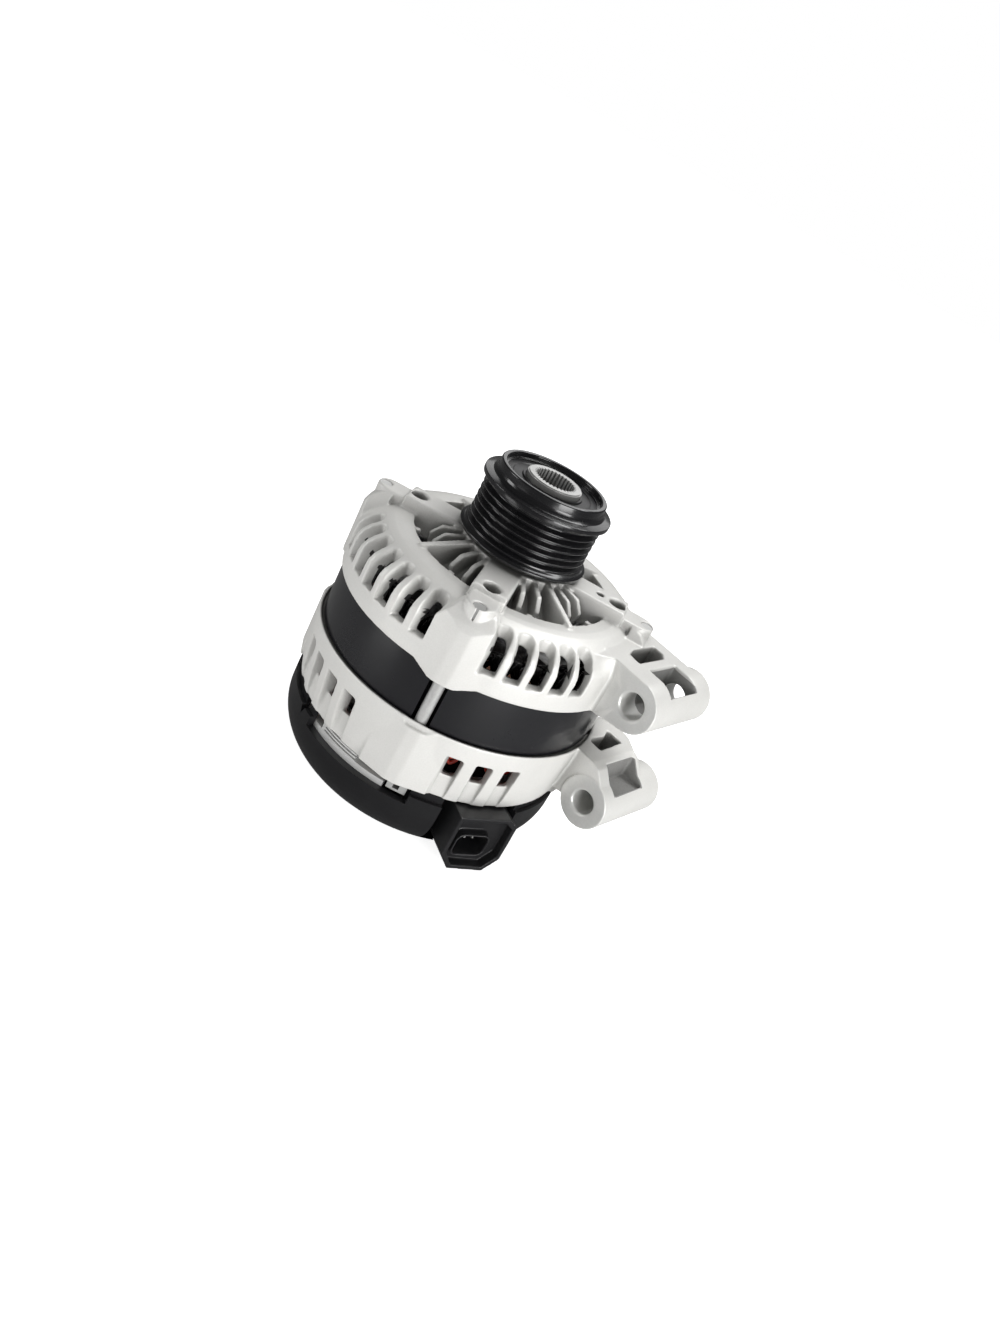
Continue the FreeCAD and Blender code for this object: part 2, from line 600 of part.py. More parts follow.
def pulley_hub():
    """Silver hub screwed on the shaft, with a splined socket for the fitting tool."""
    hub = fuse([disc(13.7, 139.3, Z_TOP - 0.6), disc(13.1, Z_TOP - 0.6, Z_TOP)])
    hub = hub.cut(disc(8.0, 130.0, 163.0)).cut(disc(9.6, 163.0, 180.0))
    gap = prism_z([(9.0, -0.62), (10.6, -0.3), (10.6, 0.3), (9.0, 0.62)], 164.0, 180.0)
    return hub.cut(group(around(gap, evenly(33))))


def clutch_spring():
    """Square-wire wrap spring between the hub and the belt wheel."""
    turns, pitch, wire = 4.0, 2.9, 1.9
    helix = Part.makeHelix(pitch, turns * pitch, 16.4)
    square = Part.makePolygon([V(16.4 - wire / 2, 0, -wire / 2), V(16.4 + wire / 2, 0, -wire / 2),
                               V(16.4 + wire / 2, 0, wire / 2), V(16.4 - wire / 2, 0, wire / 2),
                               V(16.4 - wire / 2, 0, -wire / 2)])
    coil = Part.Wire(helix).makePipeShell([square], True, True)
    coil.translate(V(0, 0, 146.0))
    return coil


# ---------------------------------------------------------------- rear cover and electrics
def cover_cup(inset, top):
    """Solid cup with a round bottom edge; `inset` moves its outline inwards."""
    r = COVER_R - inset
    fillet = COVER_FILLET - inset
    flat = r - fillet
    across = fillet * math.sqrt(0.5)
    start, end = V(flat, 0, inset), V(r, 0, inset + fillet)
    middle = V(flat + across, 0, inset + fillet - across)
    edges = [Part.makeLine(V(0, 0, inset), start), Part.Arc(start, middle, end).toShape(),
             Part.makeLine(end, V(r, 0, top)), Part.makeLine(V(r, 0, top), V(0, 0, top)),
             Part.makeLine(V(0, 0, top), V(0, 0, inset))]
    return Part.Face(Part.Wire(edges)).revolve(ORIGIN, UP, 360)


def cover_cuts():
    """Openings: heat-sink window, notch, connector mouth, stud mouth and rear air slots."""
    heat_sink = sector(60.0, 80.0, 28.0, 50.0, -101.0, -51.0)
    notch = spin(prism_x([(-5.0, 40.0), (0.0, 28.5), (5.0, 40.0)], 60.0, 80.0), -107.5)
    connector = sector(55.0, 80.0, 6.0, 50.0, -38.0, -5.0)
    stud = spin(box(46.0, 80.0, -9.0, 9.0, -5.0, 50.0), 150)
    air = [spin(box(20.0, 42.0, -1.6, 1.6, -5.0, 10.0), a) for a in evenly(12, 15)]
    socket = prism_x(inset_outline(SHROUD, -0.4), 54.0, 85.0)
    return [heat_sink, notch, connector, spin(socket, CONNECTOR_AZIMUTH), stud] + air


def rear_cover():
    cup = cover_cup(0.0, COVER_TOP).cut(cover_cup(COVER_WALL, COVER_TOP + 5))
    cup = fuse([cup, ring(COVER_R - COVER_WALL + 0.2, COVER_R - COVER_WALL - 1.4, 26.0, 36.7)])
    cup = cup.cut(group(cover_cuts()))
    posts = [disc(4.5, 1.0, 36.7, *COVER_SCREWS[k]) for k in range(3)]
    body = fuse([cup] + posts)
    holes = [disc(2.6, -1.0, 40.0, x, y) for x, y in COVER_SCREWS]
    sinks = [disc(5.6, -1.0, 3.0, x, y) for x, y in COVER_SCREWS]
    wells = [ring(6.8, 5.6, 0.0, 4.4, x, y) for x, y in COVER_SCREWS]
    floors = [ring(6.8, 2.6, 3.0, 4.4, x, y) for x, y in COVER_SCREWS]
    return fuse([body.cut(group(sinks))] + wells + floors).cut(group(holes))


def cover_studs():
    """Three studs in the rear housing that hold the cover."""
    return group([disc(2.5, 0.8, STUD_END, x, y) for x, y in COVER_SCREWS])


def cover_nuts():
    return group([hexagon_at(4.4, x, y, 1.4, 3.0).cut(disc(2.5, -1.0, 10.0, x, y))
                  for x, y in COVER_SCREWS])


def positive_heat_sink():
    """Crescent plate with three cooling grooves round its outer edge."""
    plate = sector(42.0, 69.0, 25.5, 31.0, -131.0, -62.0)
    block = sector(60.0, 69.0, 30.0, 36.4, -96.0, -76.0)
    plate = plate.fuse(block)
    grooves = [sector(63.0, 80.0, z, z + 0.9, -94.5, -70.0) for z in (31.4, 33.1, 34.8)]
    return plate.cut(group(grooves)).cut(group(
        [disc(6.6, 20.0, 40.0, x, y) for x, y in COVER_SCREWS]))


def negative_heat_sink():
    plate = sector(36.0, 62.0, 29.0, 33.5, 55.0, 125.0)
    return plate.cut(group([disc(5.2, 20.0, 40.0, x, y) for x, y in COVER_SCREWS]))


def diodes():
    """Press-in cans standing on the two plates."""
    cans = [disc(5.0, 31.0, 36.6, polar(54.0, a).x, polar(54.0, a).y) for a in POSITIVE_DIODES]
    cans += [disc(3.6, 33.5, 36.6, polar(55.0, a).x, polar(55.0, a).y) for a in NEGATIVE_DIODES]
    return group(cans)


def rectifier_terminals():
    """Moulded crescent that carries the leads below the plates."""
    bar = sector(46.0, 60.0, 20.0, 25.4, -130.0, -70.0)
    link = sector(40.0, 60.0, 21.0, 29.0, 56.0, 124.0)
    return group([piece.cut(group([disc(7.0, 0.0, 50.0, x, y) for x, y in COVER_SCREWS]))
                  for piece in (bar, link)])


def terminal_bracket():
    """Small bent metal strap beside the heat sink."""
    foot = sector(62.0, 70.2, 30.0, 31.2, -60.5, -52.5)
    post = sector(69.0, 70.2, 30.0, 36.6, -60.5, -58.0)
    ear = sector(69.0, 70.2, 30.0, 34.6, -55.5, -52.5)
    return fuse([foot, post, ear])


def output_stud():
    """Threaded stud: a thinner end for the cable, a thicker root and a flange."""
    return fuse([disc(4.0, 6.0, 19.0, OUTPUT_X, OUTPUT_Y), disc(4.4, 19.0, 34.0, OUTPUT_X, OUTPUT_Y),
                 disc(6.8, 30.0, 34.0, OUTPUT_X, OUTPUT_Y)])


def output_insulator():
    body = fuse([disc(10.0, 26.0, 30.0, OUTPUT_X, OUTPUT_Y),
                 disc(8.2, 30.0, 36.7, OUTPUT_X, OUTPUT_Y)])
    shank = disc(4.4, 20.0, 32.0, OUTPUT_X, OUTPUT_Y)
    return body.cut(shank).cut(disc(6.8, 30.0, 34.0, OUTPUT_X, OUTPUT_Y))


def output_nut():
    nut = hexagon_at(7.5, OUTPUT_X, OUTPUT_Y, 19.0, 25.6)
    return nut.cut(disc(4.4, 10.0, 30.0, OUTPUT_X, OUTPUT_Y))


# ---------------------------------------------------------------- regulator, connector, brushes
def rounded_block(x0, x1, across, height, half_w, half_h, corner):
    block = box(x0, x1, across - half_w, across + half_w, height - half_h, height + half_h)
    return soften(block, corner, lambda e: e.BoundBox.XLength > 0.5 * (x1 - x0)
                  and e.BoundBox.YLength < 0.01 and e.BoundBox.ZLength < 0.01)


def inset_outline(points, amount):
    """The same outline moved inwards about its own centre by about `amount`."""
    cx = sum(p[0] for p in points) / len(points)
    cz = sum(p[1] for p in points) / len(points)
    moved = []
    for x, z in points:
        reach = math.hypot(x - cx, z - cz)
        moved.append((cx + (x - cx) * (reach - amount) / reach,
                      cz + (z - cz) * (reach - amount) / reach))
    return moved


def voltage_regulator():
    """Regulator box with the connector shroud and its inner socket tube, facing +X."""
    across, height, half_w, half_h = SOCKET
    shroud = prism_x(SHROUD, 56.0, 79.5)
    recess = prism_x(inset_outline(SHROUD, 2.6), 74.5, 85.0)
    tube = rounded_block(64.0, 78.8, across, height, half_w, half_h, 4.0)
    hole = rounded_block(64.0, 90.0, across, height, half_w - 0.9, half_h - 0.9, 3.2)
    body = box(30.0, 57.0, -13.0, 15.0, 22.5, 36.0)
    shape = fuse([shroud.cut(recess), tube, body]).cut(hole)
    x0, x1, half_holder = HOLDER
    shape = shape.cut(box(x0, x1, -half_holder, half_holder, *HOLDER_Z))
    return spin(shape, CONNECTOR_AZIMUTH)


def connector_pins():
    across, height = SOCKET[0], SOCKET[1]
    pins = [box(64.0, 72.0, across + dy - 0.4, across + dy + 0.4, height - 1.4, height + 1.4)
            for dy in (-4.5, 0.0, 4.5)]
    return spin(group(pins), CONNECTOR_AZIMUTH)


def brush_holder():
    """Guide block with one sliding channel for each brush."""
    x0, x1, half = HOLDER
    block = box(x0, x1, -half, half, *HOLDER_Z)
    channels = [box(x0 - 1, x1 - 2.0, -2.55, 2.55, z - 2.55, z + 2.55) for z in BRUSH_HEIGHTS]
    lead_way = box(x1 - 3.0, x1 + 2, -0.8, 0.8, 16.0, 27.5)
    return spin(block.cut(group(channels)).cut(lead_way), CONNECTOR_AZIMUTH)


def brush(height):
    block = box(BRUSH_TIP - 0.7, BRUSH_TIP + BRUSH_LENGTH, -2.5, 2.5, height - 2.5, height + 2.5)
    block = block.cut(disc(BRUSH_TIP - 0.05, 0.0, 60.0))
    return spin(block, CONNECTOR_AZIMUTH)


def brush_spring(height):
    start = BRUSH_TIP + BRUSH_LENGTH + 0.35
    end = HOLDER[1] - 2.35
    turns = 7.0
    helix = Part.makeHelix((end - start) / turns, end - start, 1.7)
    circle = Part.Wire(Part.makeCircle(0.3, V(1.7, 0, 0), V(0, 1, 0)))
    coil = Part.Wire(helix).makePipeShell([circle], True, True)
    coil.rotate(ORIGIN, V(0, 1, 0), 90)
    coil.translate(V(start, 0, height))
    return spin(coil, CONNECTOR_AZIMUTH)


# ---------------------------------------------------------------- front bearing fittings
def retainer_plate():
    """Plate that holds the front bearing in its pocket."""
    hole = disc(RETAINER_SCREW_R, 110.0, 120.0, RETAINER_CIRCLE, 0)
    return ring(30.4, 19.0, 115.4, 117.0).cut(group(around(hole, BOLT_AZIMUTHS)))


def retainer_screws():
    screw = fuse([disc(RETAINER_SCREW_R, 114.0, 123.0, RETAINER_CIRCLE, 0),
                  disc(3.4, 113.4, 115.4, RETAINER_CIRCLE, 0)])
    return group(around(screw, BOLT_AZIMUTHS))


def bearing_spacer():
    """Collar between the front bearing and the pulley hub."""
    return ring(11.8, 8.5, 133.0, 139.3)


def bearing_sleeve():
    """Plastic sleeve between the rear bearing and its pocket, so the bearing can creep."""
    b = REAR_BEARING
    return ring(b["r_out"] + 1.5, b["r_out"], b["z0"], b["z1"])


def save_housings():
    save("drive_end_housing", drive_end_housing())
    save("rear_housing", rear_housing())
    save("through_bolts", through_bolts())
    save("retainer_plate", retainer_plate())
    save("retainer_screws", retainer_screws())
    save("rear_bearing_sleeve", bearing_sleeve())


def save_stator():
    save("stator_core", stator_core())
    save("stator_winding_front", winding(101.0, 114.5))
    save("stator_winding_rear", winding(68.5, 54.5))
    save("slot_copper", slot_copper())


def save_rotor():
    save("rotor_shaft", rotor_shaft())
    save("front_claw_pole", claw_pole(96.0, 107.0, 66.0, 0))
    save("rear_claw_pole", claw_pole(63.0, 74.0, 104.0, 30))
    save("pole_core", ring(20.0, 10.0, 74.0, 96.0))
    save("field_bobbin", field_bobbin())
    save("field_coil", ring(36.5, 21.4, 75.8, 94.2))
    save("front_fan", fan(107.0, 108.4, 114.6, 0))
    save("rear_fan", fan(61.6, 63.0, 54.6, 12))
    save("slip_ring_sleeve", slip_ring_sleeve())
    save("slip_rings", slip_rings())
    save("bearing_spacer", bearing_spacer())


def save_bearings():
    for place, bearing in (("front", FRONT_BEARING), ("rear", REAR_BEARING),
                           ("pulley", PULLEY_BEARING)):
        save(place + "_bearing_outer", outer_race(bearing))
        save(place + "_bearing_inner", inner_race(bearing))
        save(place + "_bearing_balls", balls(bearing))
        save(place + "_bearing_cage", cage(bearing))


def save_pulley():
    save("pulley_hub", pulley_hub())
    save("pulley_sheave", pulley_sheave())
    save("pulley_seal", pulley_seal())
    save("pulley_bush", pulley_bush())
    save("clutch_spring", clutch_spring())


def save_rear_end():
    save("rear_cover", rear_cover())
    save("cover_studs", cover_studs())
    save("cover_nuts", cover_nuts())
    save("positive_heat_sink", positive_heat_sink())
    save("negative_heat_sink", negative_heat_sink())
    save("diodes", diodes())
    save("rectifier_terminals", rectifier_terminals())
    save("terminal_bracket", terminal_bracket())
    save("output_stud", output_stud())
    save("output_insulator", output_insulator())
    save("output_nut", output_nut())


def save_connector_and_brushes():
    save("voltage_regulator", voltage_regulator())
    save("connector_pins", connector_pins())
    save("brush_holder", brush_holder())
    for place, height in zip(("inner", "outer"), BRUSH_HEIGHTS):
        save("brush_" + place, brush(height))
        save("brush_spring_" + place, brush_spring(height))


os.makedirs("parts", exist_ok=True)
save_housings()
save_stator()
save_rotor()
save_bearings()
save_pulley()
save_rear_end()
save_connector_and_brushes()
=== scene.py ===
# %% [markdown]
# # A car alternator, from frame to finish
# The part is a claw-pole machine: two cast aluminium housings hold a black laminated stack
# between them, a ribbed pulley sits on the nose of the shaft, and a black moulded cover hides
# the rectifier and the regulator at the back. The CAD frame gives every place and size, so
# this lesson only adds what CAD leaves out: soft cast edges, wound wire, and finishes.

# %% Load the frame
import json
import math

import bmesh
import bpy
from mathutils import Matrix, Vector


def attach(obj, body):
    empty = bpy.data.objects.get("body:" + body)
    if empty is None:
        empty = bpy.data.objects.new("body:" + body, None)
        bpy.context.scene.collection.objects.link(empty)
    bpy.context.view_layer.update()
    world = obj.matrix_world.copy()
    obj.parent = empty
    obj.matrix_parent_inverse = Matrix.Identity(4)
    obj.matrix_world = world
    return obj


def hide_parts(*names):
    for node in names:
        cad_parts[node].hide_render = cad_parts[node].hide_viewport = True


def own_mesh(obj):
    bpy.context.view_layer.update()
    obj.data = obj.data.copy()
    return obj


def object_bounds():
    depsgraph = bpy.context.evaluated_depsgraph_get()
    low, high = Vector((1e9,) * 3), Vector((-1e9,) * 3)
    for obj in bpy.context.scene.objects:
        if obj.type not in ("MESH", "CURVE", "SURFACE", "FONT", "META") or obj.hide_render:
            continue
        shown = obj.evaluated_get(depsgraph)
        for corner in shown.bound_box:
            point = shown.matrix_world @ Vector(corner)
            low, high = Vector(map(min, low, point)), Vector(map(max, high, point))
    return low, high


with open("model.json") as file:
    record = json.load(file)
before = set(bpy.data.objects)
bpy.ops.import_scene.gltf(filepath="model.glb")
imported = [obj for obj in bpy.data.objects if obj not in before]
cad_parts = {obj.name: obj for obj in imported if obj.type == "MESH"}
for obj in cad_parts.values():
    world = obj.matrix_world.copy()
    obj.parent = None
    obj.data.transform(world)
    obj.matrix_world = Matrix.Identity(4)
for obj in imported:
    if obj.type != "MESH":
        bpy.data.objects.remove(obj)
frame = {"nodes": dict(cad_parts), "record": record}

nodes, record = frame["nodes"], frame["record"]
scene = bpy.context.scene
cad_low, cad_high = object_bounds()
MM = 0.001
print("frame of", len(nodes), "nodes, size in mm", [round(v / MM, 1) for v in cad_high - cad_low])

# %% [markdown]
# ## The camera
# The machine is seen from above its nose and to its right, leaning to one side as a part does
# in a catalogue. The camera's three axes are written as a matrix, because a leaning view is
# easier to read that way than as three turns.

# %% Camera
CAMERA_PLACE = (0.25802, -0.40346, 0.32433)
CAMERA_AXES = ((0.64387, -0.61706, 0.45240),
               (0.63388, 0.09904, -0.76707),
               (0.42852, 0.78066, 0.45491))

lens = bpy.data.cameras.new("camera")
lens.lens = 29.458
lens.sensor_width = 36.0
lens.clip_start, lens.clip_end = 0.01, 50.0
camera = bpy.data.objects.new("camera", lens)
camera.matrix_world = Matrix.Translation(CAMERA_PLACE) @ Matrix(CAMERA_AXES).to_4x4()
scene.collection.objects.link(camera)
bpy.context.scene.camera = camera
print("camera stands", round(Vector(CAMERA_PLACE).length, 3), "m from the origin")

# %% [markdown]
# ## Node helpers
# Every finish below is a small network of nodes. These helpers add a node with its inputs
# already set, so that each finish reads as a short list.


# %% Helpers for node trees
def add(tree, kind, settings=None, **inputs):
    """Adds a node. `settings` are its own properties, the rest are sockets by name."""
    node = tree.nodes.new(kind)
    for name, value in (settings or {}).items():
        setattr(node, name, value)
    for name, value in inputs.items():
        node.inputs[name.replace("_", " ")].default_value = value
    return node


def join(tree, source, target):
    tree.links.new(source, target)


def math_node(tree, operation, first, second=None):
    """Adds a Math node; each input is a number or the socket it comes from."""
    node = tree.nodes.new("ShaderNodeMath")
    node.operation = operation
    for socket, value in zip(node.inputs, (first, second)):
        if isinstance(value, bpy.types.NodeSocket):
            join(tree, value, socket)
        elif value is not None:
            socket.default_value = value
    return node.outputs[0]


def remap(tree, value, low, high, to_low=0.0, to_high=1.0):
    node = add(tree, "ShaderNodeMapRange", {"clamp": True})
    for name, number in (("From Min", low), ("From Max", high), ("To Min", to_low),
                         ("To Max", to_high)):
        if isinstance(number, bpy.types.NodeSocket):
            join(tree, number, node.inputs[name])
        else:
            node.inputs[name].default_value = number
    join(tree, value, node.inputs["Value"])
    return node.outputs[0]


def blend_colours(tree, amount, first, second):
    """Mixes two colours; each is a tuple or a socket."""
    node = add(tree, "ShaderNodeMix", {"data_type": "RGBA"})
    for socket, value in ((node.inputs[0], amount), (node.inputs[6], first),
                          (node.inputs[7], second)):
        if isinstance(value, bpy.types.NodeSocket):
            join(tree, value, socket)
        else:
            socket.default_value = value
    return node.outputs[2]


def new_group(name, inputs, outputs):
    """Starts a shader node group with named sockets; returns the tree, its inputs and outputs."""
    tree = bpy.data.node_groups.new(name, "ShaderNodeTree")
    for label, kind, start in inputs:
        socket = tree.interface.new_socket(name=label, in_out="INPUT", socket_type=kind)
        socket.default_value = start
    for label, kind in outputs:
        tree.interface.new_socket(name=label, in_out="OUTPUT", socket_type=kind)
    return tree, tree.nodes.new("NodeGroupInput"), tree.nodes.new("NodeGroupOutput")


NUMBER, COLOUR, ARROW = "NodeSocketFloat", "NodeSocketColor", "NodeSocketVector"

# %% [markdown]
# ## Shared effects
# Cast metal, lacquer and moulded plastic are all a little uneven. Four effects cover most of
# that: a mottled tone in two sizes, a fine grain that dents the surface, pale wear where edges
# stick out, and the fine circular lines that a lathe leaves. A fifth paints shade: a darker tone
# deep in hollows, where little light gets in. Each is a group, built once.


# %% Group: mottled tone
def build_tone_group():
    tree, given, result = new_group(
        "mottled tone",
        [("Light", COLOUR, (1, 1, 1, 1)), ("Dark", COLOUR, (0, 0, 0, 1)),
         ("Patch Scale", NUMBER, 40.0), ("Speck Scale", NUMBER, 900.0),
         ("Speck Share", NUMBER, 0.3)],
        [("Color", COLOUR), ("Mask", NUMBER)])
    place = add(tree, "ShaderNodeTexCoord").outputs["Object"]
    patch = add(tree, "ShaderNodeTexNoise", Detail=4.0, Roughness=0.55)
    speck = add(tree, "ShaderNodeTexNoise", Detail=2.0, Roughness=0.6)
    for noise, scale in ((patch, "Patch Scale"), (speck, "Speck Scale")):
        join(tree, place, noise.inputs["Vector"])
        join(tree, given.outputs[scale], noise.inputs["Scale"])
    large = remap(tree, patch.outputs["Fac"], 0.32, 0.68)
    small = remap(tree, speck.outputs["Fac"], 0.35, 0.65)
    mask = add(tree, "ShaderNodeMix", {"data_type": "FLOAT"})
    join(tree, given.outputs["Speck Share"], mask.inputs[0])
    join(tree, large, mask.inputs[2])
    join(tree, small, mask.inputs[3])
    colour = blend_colours(tree, mask.outputs[0], given.outputs["Light"], given.outputs["Dark"])
    join(tree, colour, result.inputs["Color"])
    join(tree, mask.outputs[0], result.inputs["Mask"])
    return tree


TONE = build_tone_group()


# %% Group: fine grain
def build_grain_group():
    tree, given, result = new_group(
        "fine grain",
        [("Grain Scale", NUMBER, 1500.0), ("Wave Scale", NUMBER, 120.0),
         ("Wave Share", NUMBER, 0.4)],
        [("Height", NUMBER)])
    place = add(tree, "ShaderNodeTexCoord").outputs["Object"]
    grain = add(tree, "ShaderNodeTexVoronoi", {"feature": "SMOOTH_F1"}, Smoothness=0.6)
    wave = add(tree, "ShaderNodeTexNoise", Detail=3.0)
    join(tree, place, grain.inputs["Vector"])
    join(tree, place, wave.inputs["Vector"])
    join(tree, given.outputs["Grain Scale"], grain.inputs["Scale"])
    join(tree, given.outputs["Wave Scale"], wave.inputs["Scale"])
    share = given.outputs["Wave Share"]
    fine = math_node(tree, "MULTIPLY", grain.outputs["Distance"],
                     math_node(tree, "SUBTRACT", 1.0, share))
    broad = math_node(tree, "MULTIPLY", wave.outputs["Fac"], share)
    join(tree, math_node(tree, "ADD", fine, broad), result.inputs["Height"])
    return tree


GRAIN = build_grain_group()


# %% Group: edge wear
def build_wear_group():
    tree, given, result = new_group(
        "edge wear",
        [("Start", NUMBER, 0.52), ("Full", NUMBER, 0.60), ("Break Scale", NUMBER, 300.0)],
        [("Edges", NUMBER)])
    bend = add(tree, "ShaderNodeNewGeometry").outputs["Pointiness"]
    place = add(tree, "ShaderNodeTexCoord").outputs["Object"]
    broken = add(tree, "ShaderNodeTexNoise", Detail=3.0)
    join(tree, place, broken.inputs["Vector"])
    join(tree, given.outputs["Break Scale"], broken.inputs["Scale"])
    worn = remap(tree, bend, given.outputs["Start"], given.outputs["Full"])
    gaps = remap(tree, broken.outputs["Fac"], 0.38, 0.58, 0.35, 1.0)
    join(tree, math_node(tree, "MULTIPLY", worn, gaps), result.inputs["Edges"])
    return tree


WEAR = build_wear_group()


# %% Group: painted shade in hollows
def build_hollow_shade_group():
    tree, given, result = new_group(
        "painted shade in hollows", [("Reach", NUMBER, 0.01), ("Strength", NUMBER, 1.0)],
        [("Mask", NUMBER)])
    # Painted shade: ambient occlusion darkens the colour where the surface is closed in.
    open_sky = add(tree, "ShaderNodeAmbientOcclusion", {"samples": 6})
    join(tree, given.outputs["Reach"], open_sky.inputs["Distance"])
    closed = remap(tree, open_sky.outputs["AO"], 0.85, 0.15)
    join(tree, math_node(tree, "MULTIPLY", closed, given.outputs["Strength"]),
         result.inputs["Mask"])
    return tree


PAINTED_HOLLOW_SHADE = build_hollow_shade_group()


# %% Group: lathe lines
def build_lathe_group():
    tree, given, result = new_group(
        "lathe lines",
        [("Centre", ARROW, (0, 0, 0)), ("Turn", ARROW, (0, 0, 0)), ("Fineness", NUMBER, 2500.0)],
        [("Height", NUMBER)])
    place = add(tree, "ShaderNodeTexCoord").outputs["Object"]
    moved = add(tree, "ShaderNodeVectorMath", {"operation": "SUBTRACT"})
    join(tree, place, moved.inputs[0])
    join(tree, given.outputs["Centre"], moved.inputs[1])
    turned = add(tree, "ShaderNodeVectorRotate", {"rotation_type": "EULER_XYZ"})
    join(tree, moved.outputs[0], turned.inputs["Vector"])
    join(tree, given.outputs["Turn"], turned.inputs["Rotation"])
    split = add(tree, "ShaderNodeSeparateXYZ")
    join(tree, turned.outputs[0], split.inputs[0])
    squares = [math_node(tree, "MULTIPLY", split.outputs[k], split.outputs[k]) for k in (0, 1)]
    radius = math_node(tree, "SQRT", math_node(tree, "ADD", *squares))
    rings = add(tree, "ShaderNodeCombineXYZ")
    join(tree, radius, rings.inputs["X"])
    join(tree, split.outputs["Z"], rings.inputs["Y"])
    lines = add(tree, "ShaderNodeTexNoise", Detail=2.0, Roughness=0.7)
    join(tree, rings.outputs[0], lines.inputs["Vector"])
    join(tree, given.outputs["Fineness"], lines.inputs["Scale"])
    join(tree, lines.outputs["Fac"], result.inputs["Height"])
    return tree


LATHE = build_lathe_group()
print("shared effects:", [g.name for g in (TONE, GRAIN, WEAR, PAINTED_HOLLOW_SHADE, LATHE)])

# %% [markdown]
# ## One recipe for a finish
# A finish is a light and a dark tone of one colour, how metallic and how rough it is, how deep
# its grain goes and what its edges wear to. One function makes a material from those, and the
# same function adds the extra nodes that some finishes ask for.


# %% The finish recipe
def place_group(tree, group, **inputs):
    node = tree.nodes.new("ShaderNodeGroup")
    node.node_tree = group
    for name, value in inputs.items():
        node.inputs[name.replace("_", " ")].default_value = value
    return node


def rgb(red, green, blue):
    return (red, green, blue, 1.0)


# How far and how strongly the painted shade in hollows reaches.
SHADE_PAINT_REACH, SHADE_PAINT_STRENGTH = 16.0 * MM, 0.95


def finish(name, light, dark, metal=0.0, rough=(0.4, 0.5), patch=40.0, speck=900.0, share=0.3,
           grain=1500.0, depth=0.1, wave=0.3, worn=None, wear=(0.53, 0.62), painted_hollow_shade=None,
           coat=0.0, lathe=None):
    """Makes a material; `lathe` is (centre, turn, fineness, depth) for turned metal."""
    material = bpy.data.materials.new(name)
    material.use_nodes = True
    tree = material.node_tree
    shader = tree.nodes["Principled BSDF"]
    shader.inputs["Metallic"].default_value = metal
    shader.inputs["Coat Weight"].default_value = coat
    shader.inputs["Coat Roughness"].default_value = 0.12
    tone = place_group(tree, TONE, Light=rgb(*light), Dark=rgb(*dark), Patch_Scale=patch,
                       Speck_Scale=speck, Speck_Share=share)
    colour = tone.outputs["Color"]
    # Painted shade: the colour goes towards the given dark tone wherever the surface is closed in.
    if painted_hollow_shade:
        deep = place_group(tree, PAINTED_HOLLOW_SHADE, Reach=SHADE_PAINT_REACH, Strength=SHADE_PAINT_STRENGTH)
        colour = blend_colours(tree, deep.outputs["Mask"], colour, rgb(*painted_hollow_shade))
    if worn:
        edges = place_group(tree, WEAR, Start=wear[0], Full=wear[1])
        colour = blend_colours(tree, edges.outputs["Edges"], colour, rgb(*worn))
    join(tree, colour, shader.inputs["Base Color"])
    join(tree, remap(tree, tone.outputs["Mask"], 0.0, 1.0, *rough), shader.inputs["Roughness"])
    height = place_group(tree, GRAIN, Grain_Scale=grain, Wave_Share=wave).outputs["Height"]
    bump = add(tree, "ShaderNodeBump", Strength=depth, Distance=0.0004)
    join(tree, height, bump.inputs["Height"])
    if lathe:
        centre, turn, fineness, line_depth = lathe
        lines = place_group(tree, LATHE, Centre=centre, Turn=turn, Fineness=fineness)
        ridge = add(tree, "ShaderNodeBump", Strength=line_depth, Distance=0.0002)
        join(tree, lines.outputs["Height"], ridge.inputs["Height"])
        join(tree, bump.outputs["Normal"], ridge.inputs["Normal"])
        bump = ridge
    join(tree, bump.outputs["Normal"], shader.inputs["Normal"])
    return material


# %% [markdown]
# ## Metals
# The housings are high-pressure castings, blasted to an even satin white-grey, with a faint
# skin like fine sandpaper. Where a cutter has touched them (lug faces, bores, bolt seats) the
# metal is darker, smoother and shows rings. Bolts and the pulley's hub are zinc plated steel.

# %% Metal finishes
NO_TURN = (0.0, 0.0, 0.0)
ABOUT_Y = (math.radians(90.0), 0.0, 0.0)
LUG_CENTRE = (0.0910, 0.0, 0.1146)
ON_SHAFT = (0.0, 0.0, 0.0)

